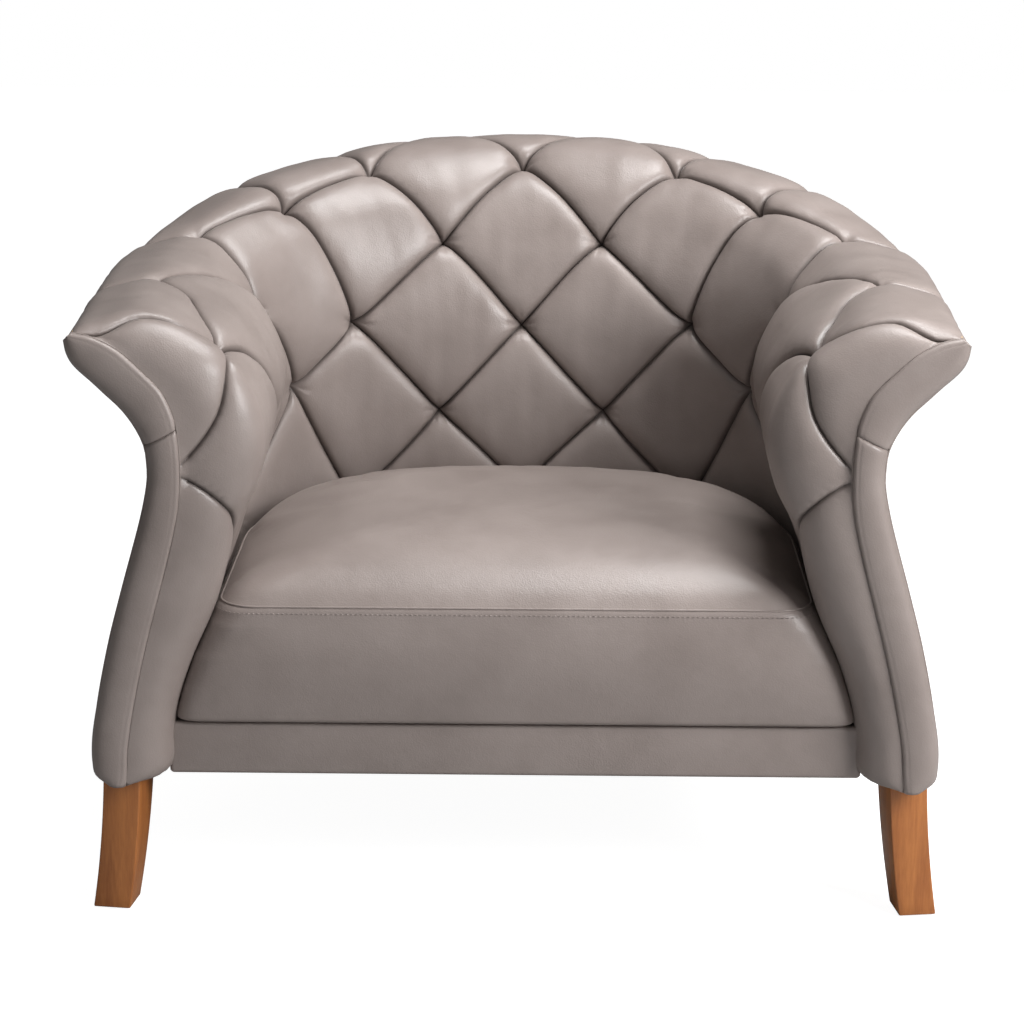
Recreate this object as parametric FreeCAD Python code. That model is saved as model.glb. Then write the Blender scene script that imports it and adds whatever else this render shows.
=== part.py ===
"""Deep-tufted tub armchair on four splayed legs.

Millimetres. +X is the sitter's left (the viewer's right), the chair faces -Y and +Z is up. The origin is on
the floor, in the middle of the overall width and depth. The tub is described in sections: reach is measured
outward from the neck line of the outside, height from the floor.
"""
import FreeCAD, Part
import math
import os

Vector = FreeCAD.Vector
UP = Vector(0, 0, 1)
os.makedirs("parts", exist_ok=True)

# Tub plan at the neck of the outside: two straight arms joined by half an ellipse
neck_half_width = 438.0
arm_straight = 350.0
back_reach = 385.0
corner_thinning = 0.32

# Where the rim climbs round the back, in degrees from the end of the arm, and the share of it in the corner
corner_climb_start = 8.0
corner_climb_end = 50.0
back_climb_start = 26.0
corner_climb_share = 0.55

# Heights of the tub
base_bottom = 180.0
base_top = 246.0
neck_height = 572.0
flare_height = 170.0
back_rise = 118.0
facing_bottom = 177.0

# Section of the outside
foot_out = 75.0
foot_round = 42.0
side_bulge = 9.0
neck_curl = 7.0
neck_span = 46.0
flare_out = 92.0

# Thickness of the wall and of its layers
wall = 40.0
wall_foot = 39.0
cover = 2.5
backing = 3.0
gap = 0.3
rib_clearance = 0.6
back_rib_clearance = 4.0
pad_clearance = 2.5
back_rail_clearance = 1.4

# Padding inside the tub
ridge_height = 21.0
arm_pad = 99.0
arm_pad_top = 600.0
lumbar_pad = 118.0
pad_foot = 50.0
tuft_depth = 34.0
crease_depth = 20.0
rim_depth = 4.0
rim_slope = 0.35
tuft_half_width = 8.0
puff_ratio = 0.3
puff_sink = 6.0
foot_sink = 0.35
nose_depth = 60.0
corner_angle = 36.0
corner_joint = 0.06
loft_degree = 3
back_stations = 24

# Arm front
facing_thickness = 14.0
facing_crown = 6.0
facing_seam_outer = 592.0
facing_seam_inner = 612.0
welt_radius = 2.5
front_panel = 18.0

# Base frame
rail_inner = -14.0
rail_outer = 54.0
front_rail_set_back = 62.0
front_rail_thickness = 25.0
rail_cover_thickness = 13.0
spring_rail_set_back = 600.0
spring_rail_thickness = 25.0
block_leg = 70.0
block_height = 38.0
rib_thickness = 18.0
arm_rib_set_back = 190.0
corner_rib_set_back = 338.0
back_rib_angle = 62.0
rim_rail_width = 34.0
rim_rail_thickness = 26.0
dust_cover = 1.0

# Seat
deck_thickness = 9.5
spring_wire = 3.8
spring_width = 46.0
spring_bends = 16
spring_spacing = 120.0
spring_count = 5
clip_width = 14.0
clip_wall = 1.5
cushion_gap = 6.0
cushion_border = 148.0
cushion_crown = 37.0
cushion_front = 40.0
cushion_corner = 62.0

# Legs
leg_width = 47.0
leg_depth = 66.0
leg_set_back = 40.0
leg_splay = 19.0
leg_reach = 66.0
leg_turn = 8.0
leg_sabre = 3.0
rear_leg_angle = 52.0
rear_leg_reach = 26.0
rear_leg_rake = 38.0
glide_height = 3.0
glide_radius = 12.0
glide_pin_radius = 2.5
glide_pin_length = 12.0
bolt_radius = 4.0
bolt_length = 64.0
bolt_grip = 34.0
insert_radius = 6.5
insert_length = 22.0
hole_clearance = 0.2

# Corner block screws
screw_radius = 2.5
screw_head_radius = 5.0
screw_head_height = 3.0
screw_length = 45.0

# Places worked out from the sizes above
overall_depth = arm_straight + back_reach + flare_out
front_y = -overall_depth / 2
tip_height = neck_height + flare_height
leg_top = base_bottom - gap
deck_top = base_top
deck_bottom = deck_top - deck_thickness
clip_height = spring_wire + 2 * clip_wall + 2 * hole_clearance
rail_top = deck_bottom - clip_height - gap
spring_height = rail_top + clip_height / 2
panel_front = facing_thickness + gap
frame_front = panel_front + front_panel + gap


def save(name, shape):
    shape.exportStep("parts/" + name + ".step")


def save_pair(name, shape):
    save(name + "_right", shape)
    save(name + "_left", shape.mirror(Vector(0, 0, 0), Vector(1, 0, 0)))


# Plan and section helpers

def arm_frame(set_back):
    """Section across the right arm, this far behind the arm front."""
    return Vector(neck_half_width, front_y + set_back, 0), Vector(1, 0, 0), 0.0, 0.0, 0.0


def eased(share):
    return share * share * (3 - 2 * share)


def climbed(share):
    """Rise with no bend at either end."""
    share = min(1.0, max(0.0, share))
    return share ** 3 * (10 - 15 * share + 6 * share * share)


def back_frame(angle):
    """Section round the back: 0 is the right end of the curve, 90 the middle, 180 the left end."""
    turn = math.radians(angle)
    outward = Vector(math.cos(turn), math.sin(turn), 0)
    origin = Vector(neck_half_width * outward.x, front_y + arm_straight + back_reach * outward.y, 0)
    along = min(angle, 180 - angle)
    in_corner = climbed((along - corner_climb_start) / (corner_climb_end - corner_climb_start))
    in_back = climbed((along - back_climb_start) / (90.0 - back_climb_start))
    rise_share = corner_climb_share * in_corner + (1 - corner_climb_share) * in_back
    share = along / 90.0
    corner_share = 8.1 * share * (1 - share) ** 2.5
    return origin, outward, rise_share, corner_share, eased(share)


def placed(frame, points):
    """Points (reach, height) of a section, placed in its frame."""
    origin, outward = frame[0], frame[1]
    return [origin + outward * reach + UP * height for reach, height in points]


def lifted(frame, points):
    """The wall grows taller towards the middle of the back, from the base top up."""
    span = tip_height - base_top
    return [(r, z + back_rise * frame[2] * max(0.0, z - base_top) / span) for r, z in points]


def inset(points, distance):
    """Points of an open line moved to the left of its direction."""
    moved = []
    last = len(points) - 1
    for i, (reach, height) in enumerate(points):
        before = points[max(i - 1, 0)]
        after = points[min(i + 1, last)]
        run = (after[0] - before[0], after[1] - before[1])
        length = math.hypot(*run)
        moved.append((reach - run[1] / length * distance, height + run[0] / length * distance))
    return moved


def arcs(points):
    """Arcs end to end, each through three points."""
    return [Part.Arc(*points[i:i + 3]).toShape() for i in range(0, len(points) - 2, 2)]


def line(start, end):
    return Part.LineSegment(start, end).toShape()


def band(frame, first, second):
    """Closed wire between two lines of arcs that run the same way."""
    one = placed(frame, first)
    two = placed(frame, list(reversed(second)))
    return Part.Wire(arcs(one) + [line(one[-1], two[0])] + arcs(two) + [line(two[-1], one[0])])


def polygon(points):
    return Part.makePolygon(points + points[:1])


def prism(wire, direction):
    return Part.Face(wire).extrude(direction)


def box(x0, x1, y0, y1, z0, z1):
    return Part.makeBox(x1 - x0, y1 - y0, z1 - z0, Vector(x0, y0, z0))


def rod(radius, start, end):
    return Part.makeCylinder(radius, (end - start).Length, start, end - start)


# Section lines of the tub wall

def outside_line():
    """Outside of the wall, from the base up to the tip of the flare."""
    foot = base_bottom + foot_round
    waist = neck_height - neck_span
    return [
        (foot_out * 0.8, base_bottom),
        (foot_out * 0.96, base_bottom + foot_round * 0.25),
        (foot_out, foot),
        ((foot_out + neck_curl) / 2 + side_bulge, (foot + waist) / 2),
        (neck_curl, waist),
        (0.0, neck_height),
        (flare_out * 0.13, neck_height + flare_height * 0.31),
        (flare_out * 0.42, neck_height + flare_height * 0.52),
        (flare_out * 0.89, neck_height + flare_height * 0.78),
        (flare_out, neck_height + flare_height * 0.89),
        (flare_out * 0.94, tip_height),
    ]


def inside_line(bottom):
    """Inside of the wall, where the padding starts, from the tip down to a height."""
    waist = neck_height - neck_span
    waist_reach = neck_curl - wall - 4
    foot_reach = foot_out - wall_foot
    knee = (waist + facing_bottom) / 2
    knee_reach = (waist_reach + foot_reach - side_bulge) / 2
    lower = ((waist_reach, waist), (knee_reach, knee), (foot_reach, facing_bottom))
    halfway = (waist + bottom) / 2
    return [
        (flare_out * 0.63, tip_height - ridge_height / 3),
        (flare_out * 0.02, neck_height + flare_height * 0.73),
        (waist_reach + 2, neck_height + flare_height * 0.39),
        (-wall, neck_height + flare_height * 0.1),
        (waist_reach, waist),
        (reach_on_arc(lower, halfway), halfway),
        (reach_on_arc(lower, bottom), bottom),
    ]


def reach_on_arc(points, height):
    """Reach of the circle through three points at a height, on the side of its middle point."""
    (x0, z0), (x1, z1), (x2, z2) = points
    scale = 2 * (x0 * (z1 - z2) + x1 * (z2 - z0) + x2 * (z0 - z1))
    squares = [x * x + z * z for x, z in points]
    centre_x = (squares[0] * (z1 - z2) + squares[1] * (z2 - z0) + squares[2] * (z0 - z1)) / scale
    centre_z = (squares[0] * (x2 - x1) + squares[1] * (x0 - x2) + squares[2] * (x1 - x0)) / scale
    radius = math.hypot(x1 - centre_x, z1 - centre_z)
    return centre_x + math.copysign(math.sqrt(radius ** 2 - (height - centre_z) ** 2), x1 - centre_x)


def wall_loop(frame, outer_inset, inner_inset, bottom):
    """Closed outline of the wall, drawn in from its outside and its inside."""
    outer = placed(frame, lifted(frame, inset(outside_line(), outer_inset)))
    inner = placed(frame, lifted(frame, inset(inside_line(bottom), inner_inset)))
    edges = arcs(outer) + [line(outer[-1], inner[0])] + arcs(inner) + [line(inner[-1], outer[0])]
    return Part.Wire(edges)


# Padding sections

def arm_crown():
    """Crown of the arm padding, from the tip over the ridge and down to the arm bottom."""
    top = tip_height + ridge_height
    inner = -wall - arm_pad
    seat = base_top + cushion_border
    return [
        (flare_out * 0.72, tip_height + ridge_height * 0.3),
        (flare_out * 0.15, top),
        (-arm_pad * 0.62, top - ridge_height * 1.3),
        (inner * 0.85, (top + arm_pad_top) / 2 - 2),
        (inner, arm_pad_top),
        (inner + 11, arm_pad_top - 50),
        (inner * 0.77, arm_pad_top - 99),
        (inner * 0.52, seat),
        (-pad_foot * 0.62, base_top + 26),
        (-pad_foot * 0.38, base_top - 20),
        (-pad_foot * 0.28, facing_bottom),
    ]


def back_crown():
    """Crown of the back padding, from the tip over the ridge and down to the base."""
    top = tip_height + back_rise + ridge_height * 0.75
    tall = top - base_top
    inner = -wall - lumbar_pad
    return [
        (flare_out * 0.72, top - ridge_height * 0.45),
        (flare_out * 0.15, top),
        (inner * 0.29, top - tall * 0.04),
        (inner * 0.6, top - tall * 0.15),
        (inner * 0.79, top - tall * 0.295),
        (inner * 0.91, top - tall * 0.435),
        (inner * 0.97, top - tall * 0.595),
        (inner, base_top + cushion_border),
        (inner, base_top + gap),
    ]


def seam_matches():
    """Points on the wall's inside line that face the points of the arm's crown."""
    return [
        (flare_out * 0.65, tip_height - 3),
        (flare_out * 0.17, tip_height - 30),
        (-wall * 0.45, tip_height - 69),
        (-wall * 0.9, tip_height - 108),
        (-wall, arm_pad_top - 2),
        (-wall * 0.97, arm_pad_top - 52),
        (-wall * 0.82, arm_pad_top - 99),
        (-wall * 0.1, base_top + cushion_border),
        (foot_out - wall_foot - 14, base_top + 26),
        (foot_out - wall_foot - 7, base_top - 20),
        (foot_out - wall_foot, facing_bottom),
    ]


def mixed(first, second, reach_share, height_share):
    points = []
    for a, b in zip(first, second):
        points.append((a[0] + (b[0] - a[0]) * reach_share, a[1] + (b[1] - a[1]) * height_share))
    return points


def crown_in_back(frame):
    """Arm crown blended into the back crown, thinner in the corners."""
    arm = arm_crown()[:8] + [(-pad_foot * 0.46, base_top + gap)]
    blend = mixed(arm, back_crown(), frame[4], frame[2])
    thin = 1 - corner_thinning * frame[3]
    return [(reach * thin if reach < 0 else reach, height) for reach, height in blend]


# Tuft columns round the back and the corner. Each column holds the run along the crown, from the tip, of its
# tufts: an even column has an upper and a lower tuft and the seat line, an odd column the rim notch and two
# tufts between.
back_columns = (
    (90.0, (120.0, 356.0, 584.0)),
    (70.5, (8.0, 224.0, 460.0)),
    (53.0, (58.0, 298.0, 556.0)),
    (corner_angle, (8.0, 97.0, 362.0)),
)
corner_columns = (
    (corner_angle - corner_joint, (8.0, 97.0, 362.0)),
    (21.0, (20.0, 200.0, 490.0)),
    (0.0, (10.0, 60.0, 350.0)),
)


def tuft_sink(run):
    """Depth of a tuft, shallow on the thin padding by the rim."""
    return min(tuft_depth, rim_depth + rim_slope * run)


def crease_runs(runs, even):
    """Run and depth of the five crease lines at a column. Two lines meet at each tuft."""
    w = tuft_half_width
    first, second, third = runs
    if even:
        marks = (first - w, first + w, second - w, second + w, third)
        depths = (tuft_sink(first),) * 2 + (tuft_sink(second),) * 2 + (crease_depth / 2,)
    else:
        marks = (first, second - w, second + w, third - w, third + w)
        depths = (rim_depth,) + (tuft_sink(second),) * 2 + (tuft_sink(third),) * 2
    return marks, depths


def between(first, second, share):
    """Creases between two columns: they run shallow halfway."""
    marks = tuple(a + (b - a) * share for a, b in zip(first[0], second[0]))
    middle = 4 * share * (1 - share)
    depths = []
    for a, b in zip(first[1], second[1]):
        ends = a + (b - a) * share
        depths.append(ends + (min(crease_depth, max(a, b)) - ends) * middle)
    return marks, tuple(depths)


def column_stations(columns, first_even, steps):
    """Stations at each column and in even steps between: place, crease runs and crease depths."""
    stations = []
    for i, (place, runs) in enumerate(columns):
        here = crease_runs(runs, (i % 2 == 0) == first_even)
        if i:
            before_place = columns[i - 1][0]
            before = stations[-1][1:]
            for step in range(1, steps):
                share = step / steps
                at = before_place + (place - before_place) * share
                stations.append((at,) + between(before, here, share))
        stations.append((place,) + here)
    return stations


def on_crown(edges, frame, run, depth):
    """Point at a run along the crown, sunk by a depth into the padding."""
    for edge in edges:
        if run <= edge.Length or edge is edges[-1]:
            break
        run -= edge.Length
    at = edge.getParameterByLength(min(run, edge.Length))
    heading = edge.tangentAt(at)
    sink = frame[1] * -heading.z + UP * heading.dot(frame[1])
    return edge.valueAt(at) + sink * depth


def tufted_section(frame, back_line, crown, marks, depths):
    """Closed section of the padding, with a puff between each two creases and a plain foot."""
    back = placed(frame, list(reversed(back_line)))
    crown = placed(frame, crown)
    top = arcs(crown)
    creases = [on_crown(top, frame, m, d) for m, d in zip(marks, depths)]
    over = on_crown(top, frame, marks[0] / 2, 0.0)
    edges = arcs(back) + [line(back[-1], crown[0]), Part.Arc(crown[0], over, creases[0]).toShape()]
    for i in range(len(marks) - 1):
        sunk = (depths[i] + depths[i + 1]) / 2 - (marks[i + 1] - marks[i]) * puff_ratio
        middle = on_crown(top, frame, (marks[i] + marks[i + 1]) / 2, max(puff_sink, sunk))
        edges.append(Part.Arc(creases[i], middle, creases[i + 1]).toShape())
    length = sum(edge.Length for edge in top)
    middle = on_crown(top, frame, (marks[-1] + length) / 2, depths[-1] * foot_sink)
    edges.append(Part.Arc(creases[-1], middle, crown[-1]).toShape())
    edges.append(line(crown[-1], back[0]))
    return Part.Wire(edges)


def loft(wires):
    return Part.makeLoft(wires, True, False, False, loft_degree)


# Tufted padding

def curved_padding(stations):
    sections = []
    for angle, marks, depths in stations:
        frame = back_frame(angle)
        back_line = inset(inside_line(base_top + gap), -pad_clearance)
        back_line[-1] = (back_line[-1][0], base_top + gap)
        back_line = lifted(frame, back_line)
        sections.append(tufted_section(frame, back_line, crown_in_back(frame), marks, depths))
    return loft(sections)


def back_padding():
    half = column_stations(back_columns, True, 2)
    return curved_padding(list(reversed(half)) + [(180 - s[0],) + s[1:] for s in half[1:]])


def corner_padding():
    """Padding of the right corner, between the back and the arm, plain where it meets the arm."""
    stations = column_stations(corner_columns, False, 2)
    place, marks, depths = stations[-1]
    stations[-1] = (place, marks, (0.0,) * len(depths))
    return curved_padding(stations)


def arm_padding():
    """Padding of the right arm: plain, drawn in to the welt at the front, cut away above the side rail."""
    back_line = inset(inside_line(facing_bottom), -pad_clearance)
    welt_room = welt_radius + gap
    behind_welt = welt_room + math.sqrt(welt_room ** 2 - pad_clearance ** 2)
    sections = []
    shares = ((nose_depth, 1.0), (nose_depth * 0.5, 0.93), (nose_depth * 0.22, 0.74), (behind_welt, 0.5))
    for set_back, share in shares:
        crown = mixed(seam_matches(), arm_crown(), share, share)
        sections.append(band(arm_frame(set_back), crown, back_line))
    straight = prism(sections[0], Vector(0, arm_straight - gap - nose_depth, 0))
    rail_space = box(0, 2 * neck_half_width, front_y + frame_front - gap, 0, 0, base_top + gap)
    return straight.fuse(loft(sections)).cut(rail_space)


# Wall layers

def back_layer(first, second):
    """Layer that follows the back between two lines of the section."""
    return loft([band(f, lifted(f, first), lifted(f, second)) for f in back_frames()])


def back_frames():
    return [back_frame(180.0 * i / back_stations) for i in range(back_stations + 1)]


def arm_layer(first, second, start):
    frame = arm_frame(start)
    return prism(band(frame, first, second), Vector(0, arm_straight - gap - start, 0))


def wall_layers():
    outside = outside_line()
    under_cover = inset(outside, cover)
    save("outside_back_cover", back_layer(outside, under_cover))
    save_pair("outside_arm_cover", arm_layer(outside, under_cover, panel_front))
    inside = inside_line(base_top + gap)
    behind = inset(inside, backing)
    save("back_backing_board", back_layer(inside, behind))
    save_pair("arm_backing_board", arm_layer(inside, behind, frame_front))


# Plywood ribs and the rim rail

def rim_rail_corners():
    """Rim rail in the flare, square to the slope of the flare."""
    slope = math.atan2(flare_height * 0.26, flare_out * 0.47)
    along = (math.cos(slope), math.sin(slope))
    centre = (flare_out * 0.5, neck_height + flare_height * 0.755)
    corners = []
    for a, b in ((1, 1), (1, -1), (-1, -1), (-1, 1)):
        run = a * rim_rail_width / 2
        lift = b * rim_rail_thickness / 2
        reach = centre[0] + along[0] * run - along[1] * lift
        corners.append((reach, centre[1] + along[1] * run + along[0] * lift))
    return corners


def above_rim_rail_underside(frame, clearance):
    """Outline of everything past the underside of the rim rail, which the ribs stop short of."""
    low, high = rim_rail_corners()[2:]
    low, high = placed(frame, lifted(frame, (low, high)))
    along = (high - low).normalize()
    up = frame[1] * along.z - UP * along.dot(frame[1])
    start = low - along * wall * 3 - up * clearance
    end = high + along * wall * 3 - up * clearance
    return polygon([start, end, end + up * flare_height, start + up * flare_height])


def rib(frame, clearance, rail_clearance):
    """Plywood rib from the base rail up to the rim rail, inside the wall's layers."""
    across = frame[1].cross(UP)
    start = across * (-rib_thickness / 2)
    outline = wall_loop(frame, cover + clearance, backing + clearance, base_bottom)
    plate = prism(outline.translated(start), across * rib_thickness)
    top = prism(above_rim_rail_underside(frame, rail_clearance).translated(start), across * rib_thickness)
    reach = 2 * overall_depth
    below = box(-reach, reach, -reach, reach, 0, base_top + gap)
    return plate.cut(top).cut(below)


def ribs_and_rim():
    save_pair("arm_rib", rib(arm_frame(arm_rib_set_back), rib_clearance, gap))
    save_pair("corner_rib", rib(arm_frame(corner_rib_set_back), rib_clearance, gap))
    save_pair("back_rib", rib(back_frame(back_rib_angle), back_rib_clearance, back_rail_clearance))
    corners = rim_rail_corners()
    frame = arm_frame(frame_front)
    length = arm_straight - gap - frame_front
    save_pair("arm_rim_rail", prism(polygon(placed(frame, corners)), Vector(0, length, 0)))
    save("back_rim_rail", loft([polygon(placed(f, lifted(f, corners))) for f in back_frames()]))


# Arm front

def facing_shape():
    """Padded facing of the right arm front, crowned towards the front."""
    sections = []
    for set_back, drawn_in in ((facing_thickness, 0.3), (facing_crown, 0.5), (0.0, facing_crown)):
        frame = arm_frame(set_back)
        sections.append(facing_loop(frame, drawn_in))
    return loft(sections)


def facing_loop(frame, drawn_in):
    inner = inset(inside_line(facing_bottom), welt_radius + gap + drawn_in)
    outer = inset(outside_line(), drawn_in)
    outer[0] = (outer[0][0], facing_bottom + drawn_in)
    inner[-1] = (inner[-1][0], facing_bottom + drawn_in)
    a = placed(frame, outer)
    b = placed(frame, inner)
    return Part.Wire(arcs(a) + [line(a[-1], b[0])] + arcs(b) + [line(b[-1], a[0])])


def arm_front():
    facing = facing_shape()
    save_pair("arm_facing_lower", facing.common(seam_side(-gap / 2, 0.0)))
    save_pair("arm_facing_upper", facing.common(seam_side(gap / 2, 2 * tip_height)))
    frame = arm_frame(panel_front)
    outline = wall_loop(frame, cover + gap, gap, base_bottom)
    save_pair("arm_front_panel", prism(outline, Vector(0, front_panel, 0)))
    save_pair("facing_welt", facing_welt())


def seam_side(offset, level):
    """Everything between the slanted cross seam of the facing and a level."""
    slope = (facing_seam_outer - facing_seam_inner) / wall
    middle = (facing_seam_outer + facing_seam_inner) / 2 + offset
    start = neck_half_width - wall / 2
    front = front_y - wall
    corners = [Vector(start + a * wall * 4, front, middle + a * slope * wall * 4) for a in (-1, 1)]
    corners += [Vector(p.x, front, level) for p in reversed(corners)]
    return prism(polygon(corners), Vector(0, 2 * wall, 0))


def facing_welt():
    """Round welt along the seam between the facing and the inside padding."""
    spine = arcs(placed(arm_frame(welt_radius + gap), inside_line(facing_bottom + welt_radius)))
    start = spine[0].valueAt(spine[0].FirstParameter)
    ring = Part.Circle(start, spine[0].tangentAt(spine[0].FirstParameter), welt_radius).toShape()
    return Part.Wire(spine).makePipeShell([Part.Wire(ring)], True, False)


# Base frame

def tub_prism(reach, front, z0, z1):
    """Prism whose plan follows the tub at a reach, from a front line to the back."""
    half = neck_half_width + reach
    depth = back_reach + reach
    start = front_y + front
    bend = front_y + arm_straight
    turn = math.sqrt(0.5)
    back = [
        Vector(half, bend, z0),
        Vector(half * math.cos(math.pi / 8), bend + depth * math.sin(math.pi / 8), z0),
        Vector(half * turn, bend + depth * turn, z0),
        Vector(half * math.sin(math.pi / 8), bend + depth * math.cos(math.pi / 8), z0),
        Vector(0, bend + depth, z0),
    ]
    back += [Vector(-p.x, p.y, z0) for p in reversed(back[:-1])]
    right = Vector(half, start, z0)
    left = Vector(-half, start, z0)
    edges = [line(left, right), line(right, back[0])] + arcs(back) + [line(back[-1], left)]
    return prism(Part.Wire(edges), Vector(0, 0, z1 - z0))


def screw(start, direction):
    """Countersunk screw, head first, along a direction."""
    head_end = start + direction * screw_head_height
    head = Part.makeCone(screw_head_radius, screw_radius, screw_head_height, start, direction)
    return head.fuse(rod(screw_radius, head_end, start + direction * screw_length))


def screw_hole(start, direction):
    r = screw_radius + hole_clearance
    head = Part.makeCone(screw_head_radius + hole_clearance, r, screw_head_height, start, direction)
    end = start + direction * (screw_length + 2)
    return head.fuse(rod(r, start, end))


def corner_block(x_side, y_side, x_way, y_way):
    """Triangular block in the corner where two rails meet."""
    corner = Vector(x_side, y_side, rail_top - block_height)
    points = [corner, corner + Vector(x_way * block_leg, 0, 0), corner + Vector(0, y_way * block_leg, 0)]
    return prism(polygon(points), Vector(0, 0, block_height))


def leg_places():
    """Top middle of each leg, the way its foot leans, its depth at the top and how far it is turned."""
    front_x = neck_half_width + leg_reach - leg_width / 2
    front = Vector(front_x, front_y + leg_set_back + leg_depth / 2, leg_top)
    frame = back_frame(rear_leg_angle)
    rear = frame[0] + frame[1] * rear_leg_reach + UP * leg_top
    front_lean = Vector(leg_splay, (leg_width - leg_depth) / 2, 0)
    rear_lean = Vector(leg_splay, rear_leg_rake, 0)
    return (
        ("front_leg", front, front_lean, leg_depth, leg_turn),
        ("rear_leg", rear, rear_lean, leg_width, 0.0),
    )


def bolt_top(top):
    """The bolts stand at the leg's middle, or in the middle of the rail where the leg overhangs it."""
    limit = neck_half_width + rail_outer - insert_radius * 2
    return Vector(min(top.x, limit), top.y, base_bottom)


def leg_section(centre, depth, turn):
    across = Vector(math.cos(math.radians(turn)), math.sin(math.radians(turn)), 0) * (leg_width / 2)
    along = UP.cross(across).normalize() * (depth / 2)
    return polygon([centre + across * a + along * b for a, b in ((-1, -1), (1, -1), (1, 1), (-1, 1))])


def legs_and_fixings():
    bolts, inserts, glides, holes = [], [], [], []
    for name, top, lean, depth, turn in leg_places():
        foot = Vector(top.x, top.y, glide_height) + lean
        middle = (top + foot) * 0.5 - lean.normalize() * leg_sabre
        places = ((top, depth), (middle, (depth + leg_width) / 2), (foot, leg_width))
        leg = loft([leg_section(at, deep, turn) for at, deep in places])
        at = bolt_top(top)
        low = at - UP * bolt_grip
        bolt = rod(bolt_radius, low, low + UP * bolt_length)
        leg = leg.cut(rod(bolt_radius + hole_clearance, low - UP, at))
        pin = rod(glide_pin_radius, foot, foot + UP * glide_pin_length)
        leg = leg.cut(rod(glide_pin_radius + hole_clearance, foot, foot + UP * (glide_pin_length + 1)))
        save_pair(name, leg)
        disc = rod(glide_radius, Vector(foot.x, foot.y, 0), foot)
        sleeve = rod(insert_radius, at, at + UP * insert_length)
        sleeve = sleeve.cut(rod(bolt_radius + hole_clearance, at, at + UP * insert_length))
        bolts.append(bolt)
        inserts.append(sleeve)
        glides.append(disc.fuse(pin))
        holes.append(rod(insert_radius + hole_clearance, at, at + UP * insert_length))
        holes.append(rod(bolt_radius + hole_clearance, at, low + UP * (bolt_length + 1)))
    for name, group in (("leg_bolts", bolts), ("leg_inserts", inserts), ("leg_glides", glides)):
        save(name, both_sides(group))
    return both_sides(holes)


def both_sides(shapes):
    mirrored = [shape.mirror(Vector(0, 0, 0), Vector(1, 0, 0)) for shape in shapes]
    return Part.makeCompound(shapes + mirrored)


def corner_screws():
    """Two screws through each corner block, one into the side rail and one into the front rail."""
    x = neck_half_width + rail_inner - gap
    y = front_y + front_rail_set_back + front_rail_thickness + gap
    to_side = Vector(x - block_leg * 0.45, y + block_leg * 0.3, rail_top - block_height / 3)
    to_front = Vector(x - block_leg * 0.3, y + block_leg * 0.45, rail_top - block_height * 2 / 3)
    return ((to_side, Vector(1, 0, 0)), (to_front, Vector(0, -1, 0)))


def base_rails(leg_holes):
    inner = neck_half_width + rail_inner
    outer = neck_half_width + rail_outer
    bend = front_y + arm_straight
    holes = both_sides([screw_hole(*place) for place in corner_screws()])
    side = box(inner, outer, front_y + frame_front, bend - gap, base_bottom, base_top)
    save_pair("side_rail", side.cut(leg_holes).cut(holes))
    ring = tub_prism(rail_outer, 0, base_bottom, base_top)
    ring = ring.cut(tub_prism(rail_inner, -wall, base_bottom, base_top))
    in_front = box(-overall_depth, overall_depth, 2 * front_y, bend, 0, 2 * base_top)
    save("back_rail", ring.cut(in_front).cut(leg_holes))
    y0 = front_y + front_rail_set_back
    y1 = y0 + front_rail_thickness
    front = box(gap - inner, inner - gap, y0, y1, base_bottom, rail_top)
    save("front_rail", front.cut(holes))
    block = corner_block(inner - gap, y1 + gap, -1, 1)
    save("corner_blocks", both_sides([block.cut(holes)]))
    save("corner_screws", both_sides([screw(*place) for place in corner_screws()]))
    z0 = rail_top - block_height
    spring_y = front_y + spring_rail_set_back
    spring = box(-inner, inner, spring_y, spring_y + spring_rail_thickness, z0, rail_top)
    save("rear_spring_rail", spring.common(tub_prism(rail_inner - gap, 0, z0, rail_top)))


def base_covers():
    """Padded cover of the front rail, and the dust cover under the base."""
    back = front_y + front_rail_set_back - gap
    front = back - rail_cover_thickness
    half = neck_half_width - pad_foot * 0.46
    plain = box(-half, half, front, back, base_bottom + gap, deck_top - gap)
    rounded = [e for e in plain.Edges if max(v.Y for v in e.Vertexes) < (front + back) / 2]
    save("front_rail_cover", plain.makeFillet(rail_cover_thickness * 0.4, rounded))
    under = base_bottom - gap
    save("dust_cover", tub_prism(rail_inner * 0.75, front_rail_set_back, under - dust_cover, under))


# Seat suspension, deck and cushion

def zigzag(x, start, end):
    """Flat zigzag spring between two straight end bars, as straight runs and quarter turns."""
    pitch = (end - start) / spring_bends
    radius = pitch / 2
    reach = spring_width / 2 - radius
    edges = []
    for i in range(spring_bends + 1):
        side = 1 if i % 2 == 0 else -1
        y = start + i * pitch
        here = Vector(x, y, spring_height)
        across = Vector(side * reach, 0, 0)
        edges.append(line(here - across, here + across))
        if i < spring_bends:
            edges += half_turn(here + across + Vector(0, radius, 0), radius, side)
    wire = Part.Wire(edges)
    ring = Part.Circle(wire.Vertexes[0].Point, Vector(1, 0, 0), spring_wire / 2).toShape()
    return wire.makePipeShell([Part.Wire(ring)], True, False)


def half_turn(centre, radius, side):
    """Two quarter arcs that carry the wire to its next run."""
    slant = radius * math.sqrt(0.5)
    low = centre - Vector(0, radius, 0)
    far = centre + Vector(side * radius, 0, 0)
    high = centre + Vector(0, radius, 0)
    first = Part.Arc(low, centre + Vector(side * slant, -slant, 0), far).toShape()
    second = Part.Arc(far, centre + Vector(side * slant, slant, 0), high).toShape()
    return [first, second]


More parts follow.
